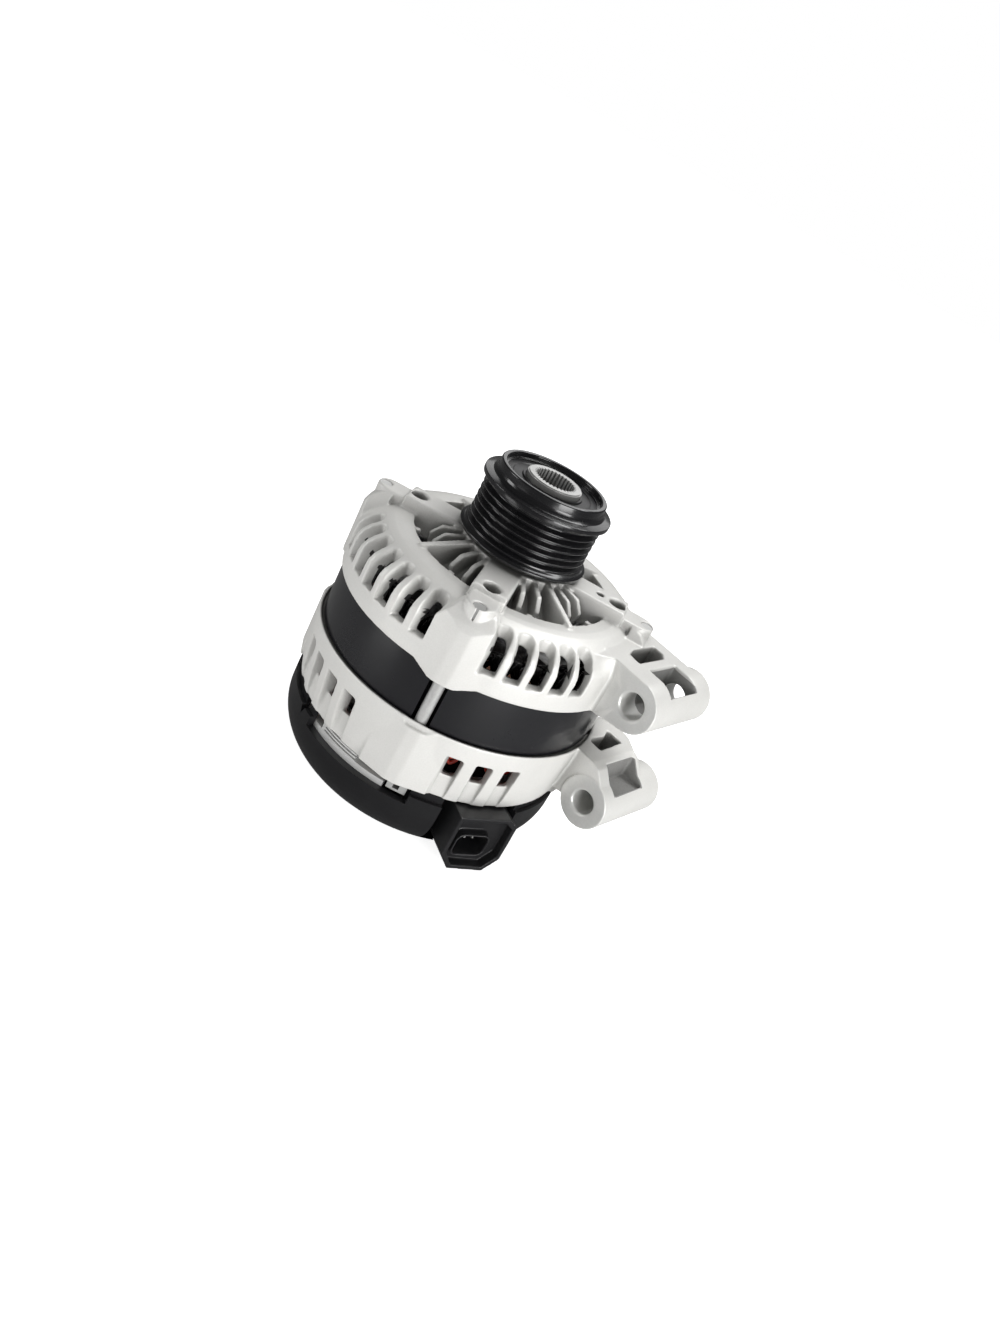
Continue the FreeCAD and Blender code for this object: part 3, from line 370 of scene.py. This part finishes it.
finishes = {
    # In the cast aluminium below, the colour given for hollows is painted shade.
    "cast_aluminium": finish(
        "cast_aluminium", (0.74, 0.735, 0.71), (0.66, 0.655, 0.63), metal=0.25,
        rough=(0.42, 0.52), patch=28.0, speck=1400.0, share=0.35, grain=2600.0, depth=0.10,
        worn=(0.90, 0.90, 0.88), wear=(0.54, 0.66), painted_hollow_shade=(0.13, 0.128, 0.122)),
    "machined_aluminium": finish(
        "machined_aluminium", (0.72, 0.72, 0.70), (0.62, 0.62, 0.60), metal=0.45,
        rough=(0.30, 0.40), patch=60.0, worn=(0.88, 0.88, 0.87), wear=(0.54, 0.66), depth=0.04,
        lathe=(LUG_CENTRE, ABOUT_Y, 1800.0, 0.10)),
    # Painted shadow for the walls of the cored lug pockets.
    "pocket_aluminium": finish(
        "pocket_aluminium", (0.30, 0.298, 0.29), (0.22, 0.218, 0.21), metal=0.2,
        rough=(0.5, 0.6), patch=40.0, grain=2600.0, depth=0.10),
    # Painted shadow for the inside of the castings, which lies in shade.
    "dark_inside": finish(
        "dark_inside", (0.045, 0.044, 0.042), (0.025, 0.024, 0.023), metal=0.2,
        rough=(0.5, 0.65), patch=60.0, depth=0.10),
    "sink_aluminium": finish(
        "sink_aluminium", (0.66, 0.66, 0.65), (0.55, 0.55, 0.54), metal=0.2,
        rough=(0.30, 0.42), patch=120.0, speck=2000.0, depth=0.08),
    # In the zinc steel below, the colour given for hollows is painted shade.
    "zinc_steel": finish(
        "zinc_steel", (0.70, 0.70, 0.685), (0.56, 0.56, 0.55), metal=0.45, rough=(0.26, 0.38),
        patch=90.0, depth=0.04, painted_hollow_shade=(0.20, 0.20, 0.195)),
    "bearing_steel": finish(
        "bearing_steel", (0.60, 0.60, 0.60), (0.50, 0.50, 0.51), metal=1.0, rough=(0.10, 0.18),
        patch=60.0, depth=0.02, lathe=(ON_SHAFT, NO_TURN, 3000.0, 0.06)),
    "dark_steel": finish(
        "dark_steel", (0.16, 0.16, 0.17), (0.09, 0.09, 0.10), metal=0.8, rough=(0.30, 0.45),
        depth=0.08, worn=(0.45, 0.45, 0.45)),
    "rotor_iron": finish(
        "rotor_iron", (0.20, 0.19, 0.18), (0.12, 0.11, 0.10), metal=0.6, rough=(0.42, 0.58),
        patch=70.0, depth=0.18, worn=(0.5, 0.5, 0.5)),
    "copper": finish(
        "copper", (0.62, 0.26, 0.12), (0.42, 0.15, 0.07), metal=0.9, rough=(0.25, 0.40),
        patch=150.0, depth=0.05, worn=(0.8, 0.45, 0.3)),
    "cage_brass": finish(
        "cage_brass", (0.60, 0.46, 0.20), (0.45, 0.33, 0.13), metal=0.85, rough=(0.28, 0.4),
        depth=0.05, worn=(0.85, 0.75, 0.45)),
}

# %% [markdown]
# ## Lacquers, plastics and carbon
# The stack is dipped in black lacquer that settles to a dull satin. The pulley is coated in a
# glossier black, so it takes long soft highlights. Moulded covers are a fine-grained nylon.

# %% Dark and moulded finishes
finishes.update({
    "stack_black": finish(
        "stack_black", (0.013, 0.013, 0.015), (0.008, 0.008, 0.010), rough=(0.26, 0.34),
        patch=30.0, speck=1800.0, depth=0.05, coat=0.5),
    "pulley_black": finish(
        "pulley_black", (0.008, 0.008, 0.009), (0.005, 0.005, 0.006), rough=(0.20, 0.28),
        patch=60.0, depth=0.03, coat=0.6, lathe=(ON_SHAFT, NO_TURN, 1600.0, 0.05)),
    "seal_black": finish(
        "seal_black", (0.012, 0.012, 0.013), (0.007, 0.007, 0.008), rough=(0.30, 0.42),
        depth=0.08, lathe=(ON_SHAFT, NO_TURN, 1400.0, 0.08)),
    "cover_black": finish(
        "cover_black", (0.013, 0.013, 0.014), (0.008, 0.008, 0.009), rough=(0.26, 0.36),
        patch=35.0, speck=2400.0, grain=2600.0, depth=0.06),
    "moulding_dark": finish(
        "moulding_dark", (0.016, 0.016, 0.017), (0.009, 0.009, 0.010), rough=(0.32, 0.42),
        patch=50.0, grain=2400.0, depth=0.07, worn=(0.20, 0.20, 0.205), wear=(0.54, 0.64)),
    "natural_plastic": finish(
        "natural_plastic", (0.55, 0.50, 0.40), (0.45, 0.40, 0.31), rough=(0.4, 0.5),
        depth=0.06, worn=(0.7, 0.66, 0.56)),
    # In the dark winding below, the colour given for hollows is painted shade between the wires.
    "winding_dark": finish(
        "winding_dark", (0.050, 0.047, 0.045), (0.026, 0.024, 0.023), metal=0.5,
        rough=(0.14, 0.22), patch=160.0, depth=0.05, coat=0.8, painted_hollow_shade=(0.004, 0.004, 0.004)),
    "winding_red": finish(
        "winding_red", (0.60, 0.035, 0.018), (0.34, 0.018, 0.010), rough=(0.22, 0.38),
        patch=160.0, depth=0.10, coat=0.4, worn=(0.85, 0.16, 0.10)),
    "carbon": finish(
        "carbon", (0.06, 0.06, 0.062), (0.03, 0.03, 0.032), metal=0.2, rough=(0.4, 0.6),
        depth=0.25, speck=2600.0, share=0.6),
})
print(len(finishes), "finishes")

# %% [markdown]
# ## Finish every part
# Each CAD node names the slot of the record that it takes its finish from, so one loop dresses
# the whole machine.

# %% Dress the CAD nodes
for part in record["subparts"]:
    mesh = nodes[part["node"]].data
    mesh.materials.clear()
    mesh.materials.append(finishes[part["material_slot"]])
print("dressed", len(record["subparts"]), "nodes")

# %% [markdown]
# ## Soft castings
# A casting has no sharp corner anywhere: metal flows out of a die only if every edge is round.
# CAD edges are sharp, so each housing is copied, its loose triangles are welded into one closed
# skin, and the skin is rebuilt from small cubes and smoothed, which rounds each edge by about
# half a millimetre and keeps flat faces flat. A bevel would be the usual way, but it fails where
# dozens of drafted slots run into a rounded shoulder.


# %% Helper: weld and soften a CAD node
def welded_copy(node, name):
    """Object with the node's mesh welded into a closed skin."""
    skin = nodes[node].data.copy()
    skin.name = name
    shell = bmesh.new()
    shell.from_mesh(skin)
    bmesh.ops.remove_doubles(shell, verts=shell.verts, dist=2e-6)
    open_edges = sum(1 for edge in shell.edges if len(edge.link_faces) != 2)
    shell.to_mesh(skin)
    shell.free()
    piece = bpy.data.objects.new(name, skin)
    scene.collection.objects.link(piece)
    print(name, "welded,", open_edges, "open edges")
    return piece


def settle(piece):
    """Turns the piece with its modifiers into a plain mesh and removes them."""
    graph = bpy.context.evaluated_depsgraph_get()
    mesh = bpy.data.meshes.new_from_object(piece.evaluated_get(graph))
    piece.modifiers.clear()
    piece.data = mesh
    return mesh


def soft_copy(node, name, slot_name, cube, rounds, most_triangles):
    """Copy of a node with its edges rounded over, under a given number of triangles."""
    piece = welded_copy(node, name)
    rebuild = piece.modifiers.new("rebuild", "REMESH")
    rebuild.mode, rebuild.voxel_size = "VOXEL", cube
    calm = piece.modifiers.new("calm", "SMOOTH")
    calm.factor, calm.iterations = 0.5, rounds
    count = 2 * len(settle(piece).polygons)
    if count > most_triangles:
        thin = piece.modifiers.new("thin", "DECIMATE")
        thin.ratio = most_triangles / count
        settle(piece)
    piece.data.shade_smooth()
    piece.data.materials.clear()
    piece.data.materials.append(finishes[slot_name])
    print(name, "has", len(piece.data.polygons), "faces")
    return piece


def stands_for(piece, body, slot_name, *replaced):
    """Ties a piece to its body and hides the CAD nodes that it replaces; its finish name is not
    used.
    """
    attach(piece, body)
    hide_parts(*replaced)


# %% [markdown]
# ## Zones of a casting
# The engine bolts clamp the lugs, so a cutter has faced their ends and reamed their bores. On
# the softened skin those faces are found by where they are: near a lug's axis and at its end, or
# on the wall of its bore. In the same way the inside and the cored pockets get darker finishes,
# which are painted shadow, as these parts lie in shade. The rest stays as cast.

# %% Zones found by place
MACHINED, INSIDE, POCKET = 1, 2, 3        # material slots after the casting's own
END_BAND, WALL_BAND, POCKET_BAND, POCKET_LIP = 0.5 * MM, 1.0 * MM, 1.1 * MM, 6.0 * MM
LUGS = {                  # axis (x, z), radius of the end face, radius that holds the bore, ends
    "front_casting": ((0.0910, 0.1146), 0.0132, 0.0076, (0.0, 0.049)),
    "rear_casting": ((0.0905, 0.0511), 0.0135, 0.0072, (0.0138, 0.0628)),
}


def machine_lug(piece, centre, outer, bore, ends):
    """Gives the machined finish to a lug's end faces and bore."""
    piece.data.materials.append(finishes["machined_aluminium"])
    cut = 0
    for face in piece.data.polygons:
        middle, normal = face.center, face.normal
        off_x, off_z = middle.x - centre[0], middle.z - centre[1]
        from_axis = math.hypot(off_x, off_z)
        at_end = min(abs(middle.y - end) for end in ends) < END_BAND and abs(normal.y) > 0.8
        on_wall = from_axis < bore and ends[0] - WALL_BAND < middle.y < ends[1] + WALL_BAND
        if (at_end and from_axis < outer) or on_wall:
            face.material_index = MACHINED
            cut += 1
    print(piece.name, "has", cut, "machined faces")


def paint_inside_shadow(piece, reach, low, high):
    """Painted shadow on the inside of a casting, within a radius and between two heights."""
    piece.data.materials.append(finishes["dark_inside"])
    for face in piece.data.polygons:
        middle = face.center
        if math.hypot(middle.x, middle.y) < reach and low < middle.z < high:
            face.material_index = INSIDE


def shade_pockets(piece):
    """Painted shadow on the walls of the cored lug pockets, found by the boxes that the record
    states.
    """
    piece.data.materials.append(finishes["pocket_aluminium"])
    walls = 0
    for opening in record["physics"]["openings"]:
        if not opening["name"].endswith("pocket"):
            continue
        low, high = (Vector(corner) for corner in opening["box_m"])
        for face in piece.data.polygons:
            gap = [max(low[k] - face.center[k], face.center[k] - high[k]) for k in range(3)]
            if max(gap) < POCKET_BAND and face.center.z < high.z - POCKET_LIP:
                face.material_index = POCKET
                walls += 1
    print(piece.name, "has", walls, "pocket faces")

# %% Both housings
CASTING_CUBE, CASTING_ROUNDS, CASTING_TRIANGLES = 0.52 * MM, 5, 195000
front_casting = soft_copy("drive_end_housing", "front_casting", "cast_aluminium", CASTING_CUBE,
                          CASTING_ROUNDS, CASTING_TRIANGLES)
rear_casting = soft_copy("rear_housing", "rear_casting", "cast_aluminium", CASTING_CUBE,
                         CASTING_ROUNDS, CASTING_TRIANGLES)
for casting, replaced in ((front_casting, "drive_end_housing"), (rear_casting, "rear_housing")):
    machine_lug(casting, *LUGS[casting.name])
    stands_for(casting, "housing", "cast_aluminium", replaced)
# Painted shadow on the inside of both castings.
paint_inside_shadow(front_casting, 0.0708, 0.0985, 0.1185)
paint_inside_shadow(rear_casting, 0.0690, 0.0425, 0.0700)
# Painted shadow on the walls of the lug pockets.
shade_pockets(front_casting)
shade_pockets(rear_casting)

# %% [markdown]
# ## Moulded connector
# The regulator's shroud is moulded nylon, so its corners are round too, only more tightly.

# %% Connector shroud
MOULDING_CUBE, MOULDING_ROUNDS, MOULDING_TRIANGLES = 0.4 * MM, 3, 90000
connector = soft_copy("voltage_regulator", "connector_shroud", "moulding_dark", MOULDING_CUBE,
                      MOULDING_ROUNDS, MOULDING_TRIANGLES)
stands_for(connector, "housing", "moulding_dark", "voltage_regulator")

# %% [markdown]
# ## Turned pulley
# The belt wheel and its hub's face are turned on a lathe, so every edge is broken by a tiny
# chamfer that catches a thin line of light. The outline is drawn as radius and height, each
# corner is rounded a little, and the line is spun round the shaft. Its grooves follow one rule:
# six ribs at the standard belt pitch.


# %% Helper: spin an outline
def round_corner(before, corner, after, radius):
    """Three points that take the place of a sharp corner."""
    first, last = (Vector(before) - Vector(corner)), (Vector(after) - Vector(corner))
    reach = min(radius, first.length * 0.42, last.length * 0.42)
    start = Vector(corner) + first.normalized() * reach
    end = Vector(corner) + last.normalized() * reach
    middle = (start + end) / 4 + Vector(corner) / 2
    return [start, middle, end]


def spun(name, outline, radius, segments, finish_name):
    """Closed solid of revolution about the shaft, with its corners rounded; sizes in mm."""
    line = []
    for k, corner in enumerate(outline):
        line += round_corner(outline[k - 1], corner, outline[(k + 1) % len(outline)], radius)
    rings = []
    for step in range(segments):
        turn = 2 * math.pi * step / segments
        rings += [(p.x * MM * math.cos(turn), p.x * MM * math.sin(turn), p.y * MM) for p in line]
    count = len(line)
    faces = []
    for step in range(segments):
        here, there = step * count, (step + 1) % segments * count
        faces += [(here + k, there + k, there + (k + 1) % count, here + (k + 1) % count)
                  for k in range(count)]
    mesh = bpy.data.meshes.new(name)
    mesh.from_pydata(rings, [], faces)
    shell = bmesh.new()
    shell.from_mesh(mesh)
    bmesh.ops.recalc_face_normals(shell, faces=shell.faces)
    shell.to_mesh(mesh)
    shell.free()
    mesh.shade_smooth()
    mesh.materials.append(finishes[finish_name])
    piece = bpy.data.objects.new(name, mesh)
    scene.collection.objects.link(piece)
    print(name, "has", len(mesh.polygons), "faces")
    return piece


# %% Belt wheel
PITCH, RIBS, CREST, ROOT, FIRST_CREST = 3.56, 6, 29.75, 26.9, 143.0
CORNER_RADIUS, SEGMENTS = 0.22, 160
outline = [(21.0, 138.7), (30.5, 138.7), (32.5, 139.6), (32.5, 141.0), (31.2, 142.0),
           (CREST, FIRST_CREST - 0.4)]
for rib in range(RIBS):
    z = FIRST_CREST + PITCH * rib
    outline += [(CREST, z + 0.35), (ROOT, z + 1.45), (ROOT, z + 2.1), (CREST, z + 3.2)]
outline += [(CREST, 165.0), (32.15, 165.7), (32.15, 167.9), (28.4, 168.6), (27.2, 169.8),
            (26.8, 171.0), (26.8, 174.3), (26.3, 174.8), (24.6, 174.8), (24.2, 174.2),
            (24.2, 172.2), (22.9, 172.2), (22.9, 170.6), (22.0, 170.6), (22.0, 159.0),
            (19.9, 159.0), (19.9, 144.0), (21.0, 144.0)]
wheel = spun("belt_wheel", outline, CORNER_RADIUS, SEGMENTS, "pulley_black")
stands_for(wheel, "pulley", "pulley_black", "pulley_sheave")

# %% [markdown]
# ## Wound wire
# The stator's end turns are thick enamelled wires that rise out of one slot, arch over, and go
# down three slots further on, each lying a little outside the last. That is one arch repeated
# round a circle, so Geometry Nodes makes it: a line bent by a formula, swept with a round
# section, and placed once for every slot.


# %% Parts of the tree
ARCH_POINTS, ARCH_FLATNESS, WIRE_SIDES = 15, 0.62, 8


def bend_line(tree, size):
    """A straight line bent into one arch; `size` holds the tree's inputs."""
    line = tree.nodes.new("GeometryNodeCurvePrimitiveLine")
    points = add(tree, "GeometryNodeResampleCurve", Count=ARCH_POINTS)
    join(tree, line.outputs["Curve"], points.inputs["Curve"])
    along = tree.nodes.new("GeometryNodeSplineParameter").outputs["Factor"]
    angle = math_node(tree, "ADD", math_node(tree, "MULTIPLY", along, size["Span"]),
                      size["Offset"])
    spread = math_node(tree, "SUBTRACT", size["End Radius"], size["Start Radius"])
    radius = math_node(tree, "ADD", math_node(tree, "MULTIPLY", along, spread),
                       size["Start Radius"])
    half_turn = math_node(tree, "SINE", math_node(tree, "MULTIPLY", along, math.pi))
    arch = math_node(tree, "POWER", math_node(tree, "ABSOLUTE", half_turn), ARCH_FLATNESS)
    height = math_node(tree, "ADD", math_node(tree, "MULTIPLY", arch, size["Rise"]), size["Low"])
    spot = tree.nodes.new("ShaderNodeCombineXYZ")
    across = math_node(tree, "MULTIPLY", radius, math_node(tree, "COSINE", angle))
    deep = math_node(tree, "MULTIPLY", radius, math_node(tree, "SINE", angle))
    for value, axis in ((across, "X"), (deep, "Y"), (height, "Z")):
        join(tree, value, spot.inputs[axis])
    bent = tree.nodes.new("GeometryNodeSetPosition")
    join(tree, points.outputs["Curve"], bent.inputs["Geometry"])
    join(tree, spot.outputs[0], bent.inputs["Position"])
    return bent.outputs["Geometry"]


def sweep_wire(tree, line, radius):
    """Round wire along a curve, closed at both ends."""
    section = add(tree, "GeometryNodeCurvePrimitiveCircle", Resolution=WIRE_SIDES)
    join(tree, radius, section.inputs["Radius"])
    sweep = add(tree, "GeometryNodeCurveToMesh", Fill_Caps=True)
    join(tree, line, sweep.inputs["Curve"])
    join(tree, section.outputs["Curve"], sweep.inputs["Profile Curve"])
    return sweep.outputs["Mesh"]


def place_round(tree, wire, count):
    """One copy of a wire for each coil, turned evenly about the shaft, as real mesh."""
    slots = tree.nodes.new("GeometryNodeMeshLine")
    slots.inputs["Offset"].default_value = (0.0, 0.0, 0.0)
    join(tree, count, slots.inputs["Count"])
    number = tree.nodes.new("GeometryNodeInputIndex").outputs[0]
    step = math_node(tree, "DIVIDE", 2.0 * math.pi, count)
    turn = tree.nodes.new("ShaderNodeCombineXYZ")
    join(tree, math_node(tree, "MULTIPLY", number, step), turn.inputs["Z"])
    placed = tree.nodes.new("GeometryNodeInstanceOnPoints")
    join(tree, slots.outputs["Mesh"], placed.inputs["Points"])
    join(tree, wire, placed.inputs["Instance"])
    join(tree, turn.outputs[0], placed.inputs["Rotation"])
    real = tree.nodes.new("GeometryNodeRealizeInstances")
    join(tree, placed.outputs[0], real.inputs[0])
    return real.outputs[0]


# %% The whole tree
def build_winding_tree():
    tree = bpy.data.node_groups.new("end turns", "GeometryNodeTree")
    face = tree.interface
    for label, kind, start in (
            ("Coils", "NodeSocketInt", 36), ("Span", NUMBER, 0.52), ("Start Radius", NUMBER, 0.056),
            ("End Radius", NUMBER, 0.060), ("Low", NUMBER, 0.1), ("Rise", NUMBER, 0.012),
            ("Wire", NUMBER, 0.001), ("Offset", NUMBER, 0.0)):
        face.new_socket(name=label, in_out="INPUT", socket_type=kind).default_value = start
    face.new_socket(name="Finish", in_out="INPUT", socket_type="NodeSocketMaterial")
    face.new_socket(name="Wires", in_out="OUTPUT", socket_type="NodeSocketGeometry")
    given, result = tree.nodes.new("NodeGroupInput"), tree.nodes.new("NodeGroupOutput")
    size = given.outputs
    wire = sweep_wire(tree, bend_line(tree, size), size["Wire"])
    painted = tree.nodes.new("GeometryNodeSetMaterial")
    join(tree, place_round(tree, wire, size["Coils"]), painted.inputs["Geometry"])
    join(tree, size["Finish"], painted.inputs["Material"])
    join(tree, painted.outputs[0], result.inputs["Wires"])
    return tree


END_TURNS = build_winding_tree()
print("end turns take", len(END_TURNS.interface.items_tree) - 1, "inputs")

# %% [markdown]
# ## Front and rear end turns
# Two rings of wide arches lean against each other, as a wave winding does. Outside them hang
# nested loops, which are what shows through the gills. Each ring is one row of numbers: how
# many coils, first and last radius, span and middle in degrees, share of the height, and the
# wire's radius. The front turns are dark, and the rear ones are dipped in red lacquer.


# %% Helper: run a tree
def run_tree(name, tree, **sizes):
    """Evaluates a geometry tree with its inputs set by identifier, as a plain mesh."""
    carrier = bpy.data.objects.new(name, bpy.data.meshes.new(name))
    scene.collection.objects.link(carrier)
    grow = carrier.modifiers.new("grow", "NODES")
    grow.node_group = tree
    for socket in tree.interface.items_tree:
        label = socket.name.replace(" ", "_")
        if socket.in_out == "INPUT" and label in sizes:
            grow[socket.identifier] = sizes[label]
    settle(carrier)
    return carrier


# %% Wind both ends
INNER = ((36, 0.0550, 0.0584, 30.0, 5.0, 0.80, 0.0011),
         (36, 0.0612, 0.0576, 30.0, 5.0, 0.92, 0.0011))
NESTED = ((40, 0.0640, 0.0640, 9.6, 3.2, 1.00, 0.0010),
          (40, 0.0643, 0.0643, 6.4, 2.6, 0.80, 0.0009),
          (40, 0.0646, 0.0646, 3.6, 2.2, 0.58, 0.0008))


def wind(name, node, finish_name, bundles):
    """Rings of arches joined into one piece that stands for the CAD winding."""
    whole = bmesh.new()
    for rings, low, rise in bundles:
        for coils, start, end, span, middle, height, wire in rings:
            ring = run_tree(name, END_TURNS, Coils=coils, Span=math.radians(span),
                            Start_Radius=start, End_Radius=end, Low=low, Rise=rise * height,
                            Wire=wire, Offset=math.radians(middle - span / 2.0),
                            Finish=finishes[finish_name])
            whole.from_mesh(ring.data)
            bpy.data.objects.remove(ring)
    mesh = bpy.data.meshes.new(name)
    whole.to_mesh(mesh)
    whole.free()
    mesh.shade_smooth()
    for face in mesh.polygons:
        face.material_index = 0
    mesh.materials.append(finishes[finish_name])
    piece = bpy.data.objects.new(name, mesh)
    scene.collection.objects.link(piece)
    stands_for(piece, "housing", finish_name, node)
    print(name, "has", len(mesh.polygons), "faces")


wind("front_end_turns", "stator_winding_front", "winding_dark",
     ((INNER, 0.1005, 0.0115), (NESTED, 0.1132, -0.0105)))
wind("rear_end_turns", "stator_winding_rear", "winding_red",
     ((INNER, 0.0690, -0.0130), (NESTED, 0.0690, -0.0168)))

# %% [markdown]
# ## Brush springs
# A coil spring presses each brush on its ring, and shortens as the brush slides back. Each
# spring here is a copy of its CAD node, as it stands.

# %% The springs
for place in ("inner", "outer"):
    node = "brush_spring_" + place
    spring = welded_copy(node, "coil_" + place)
    stands_for(spring, "housing", "zinc_steel", node)
    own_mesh(spring)

# %% [markdown]
# ## Light and floor
# A product studio would light this with one wide softbox low on the right, which whitens the
# wall below the gills, weaker ones on the left and behind, and one overhead for the arms. The floor
# is a plain pale sheet that glows a little, so shadows stay faint. Two small white cards lie on
# it, out of the camera's sight, and put the soft streaks into the black lacquer.

# %% Floor
FLOOR_HALF, FLOOR_GAP = 12.0, 0.0002
floor_mesh = bpy.data.meshes.new("floor")
floor_mesh.from_pydata([(FLOOR_HALF * x, FLOOR_HALF * y, cad_low.z - FLOOR_GAP) for x, y in
                        ((-1, -1), (1, -1), (1, 1), (-1, 1))], [], [(0, 1, 2, 3)])
floor = bpy.data.objects.new("floor", floor_mesh)
scene.collection.objects.link(floor)

# %% Paper
# How strongly the sheet glows for the eye, in reflections and for plain light.
GLOW_SEEN, GLOW_MIRRORED, GLOW_CAST = 0.85, 0.06, 0.45
PALE, DIM = 0.75, 0.10
paper = bpy.data.materials.new("paper")
paper.use_nodes = True
paper_shader = paper.node_tree.nodes["Principled BSDF"]
paper_shader.inputs["Roughness"].default_value = 0.9
paper_shader.inputs["Specular IOR Level"].default_value = 0.1
paper_shader.inputs["Emission Color"].default_value = rgb(1, 1, 1)
eye = add(paper.node_tree, "ShaderNodeLightPath")
shine = remap(paper.node_tree, eye.outputs["Is Glossy Ray"], 0.0, 1.0, GLOW_CAST,
              GLOW_MIRRORED)
shine = remap(paper.node_tree, eye.outputs["Is Camera Ray"], 0.0, 1.0, shine, GLOW_SEEN)
join(paper.node_tree, shine, paper_shader.inputs["Emission Strength"])
tint = blend_colours(paper.node_tree, eye.outputs["Is Glossy Ray"], rgb(PALE, PALE, PALE),
                     rgb(DIM, DIM, DIM))
join(paper.node_tree, tint, paper_shader.inputs["Base Color"])
floor_mesh.materials.append(paper)
print("floor is", 2 * FLOOR_HALF, "m wide")

# %% World
# How bright the room is for plain light, in reflections and behind the machine.
ROOM, ROOM_IN_GLOSS, BACKDROP = 0.34, 0.08, 1.0
scene.view_settings.view_transform = "Standard"
world = bpy.data.worlds.new("studio")
scene.world = world
world.use_nodes = True
sky = world.node_tree.nodes["Background"]
sky.inputs["Color"].default_value = rgb(1, 1, 1)
rays = add(world.node_tree, "ShaderNodeLightPath")
ambient = remap(world.node_tree, rays.outputs["Is Glossy Ray"], 0.0, 1.0, ROOM, ROOM_IN_GLOSS)
glow = remap(world.node_tree, rays.outputs["Is Camera Ray"], 0.0, 1.0, ambient, BACKDROP)
join(world.node_tree, glow, sky.inputs["Strength"])


# %% Softboxes
AIM = Vector((0.0, 0.0, 0.085))
SOFTBOXES = (             # name, azimuth, height, distance, width, depth in metres, watts
    ("key_right", -14.0, 0.18, 0.80, 0.42, 0.40, 4.2),
    ("fill_left", -135.0, 0.34, 0.95, 0.3, 0.5, 2.0),
    ("overhead", 70.0, 0.85, 0.35, 0.5, 0.5, 4.4),
    ("behind", 122.0, 0.62, 0.95, 0.9, 0.5, 1.4),
    ("card_right", -26.0, 0.004, 0.29, 0.14, 0.22, 0.17),
    ("card_left", -106.0, 0.004, 0.25, 0.10, 0.20, 0.10))


def softbox(name, azimuth, height, distance, width, tall, watts):
    """Area light at an azimuth round the machine, aimed at its middle; the camera can't see it."""
    lamp = bpy.data.lights.new(name, "AREA")
    lamp.shape = "RECTANGLE"
    lamp.size, lamp.size_y, lamp.energy = width, tall, watts
    turn = math.radians(azimuth)
    spot = Vector((distance * math.cos(turn), distance * math.sin(turn), height))
    facing = (AIM - spot).to_track_quat("-Z", "Y").to_matrix().to_4x4()
    light = bpy.data.objects.new(name, lamp)
    light.visible_camera = False
    light.matrix_world = Matrix.Translation(spot) @ facing
    scene.collection.objects.link(light)


for row in SOFTBOXES:
    softbox(*row)
print(len(SOFTBOXES), "softboxes")
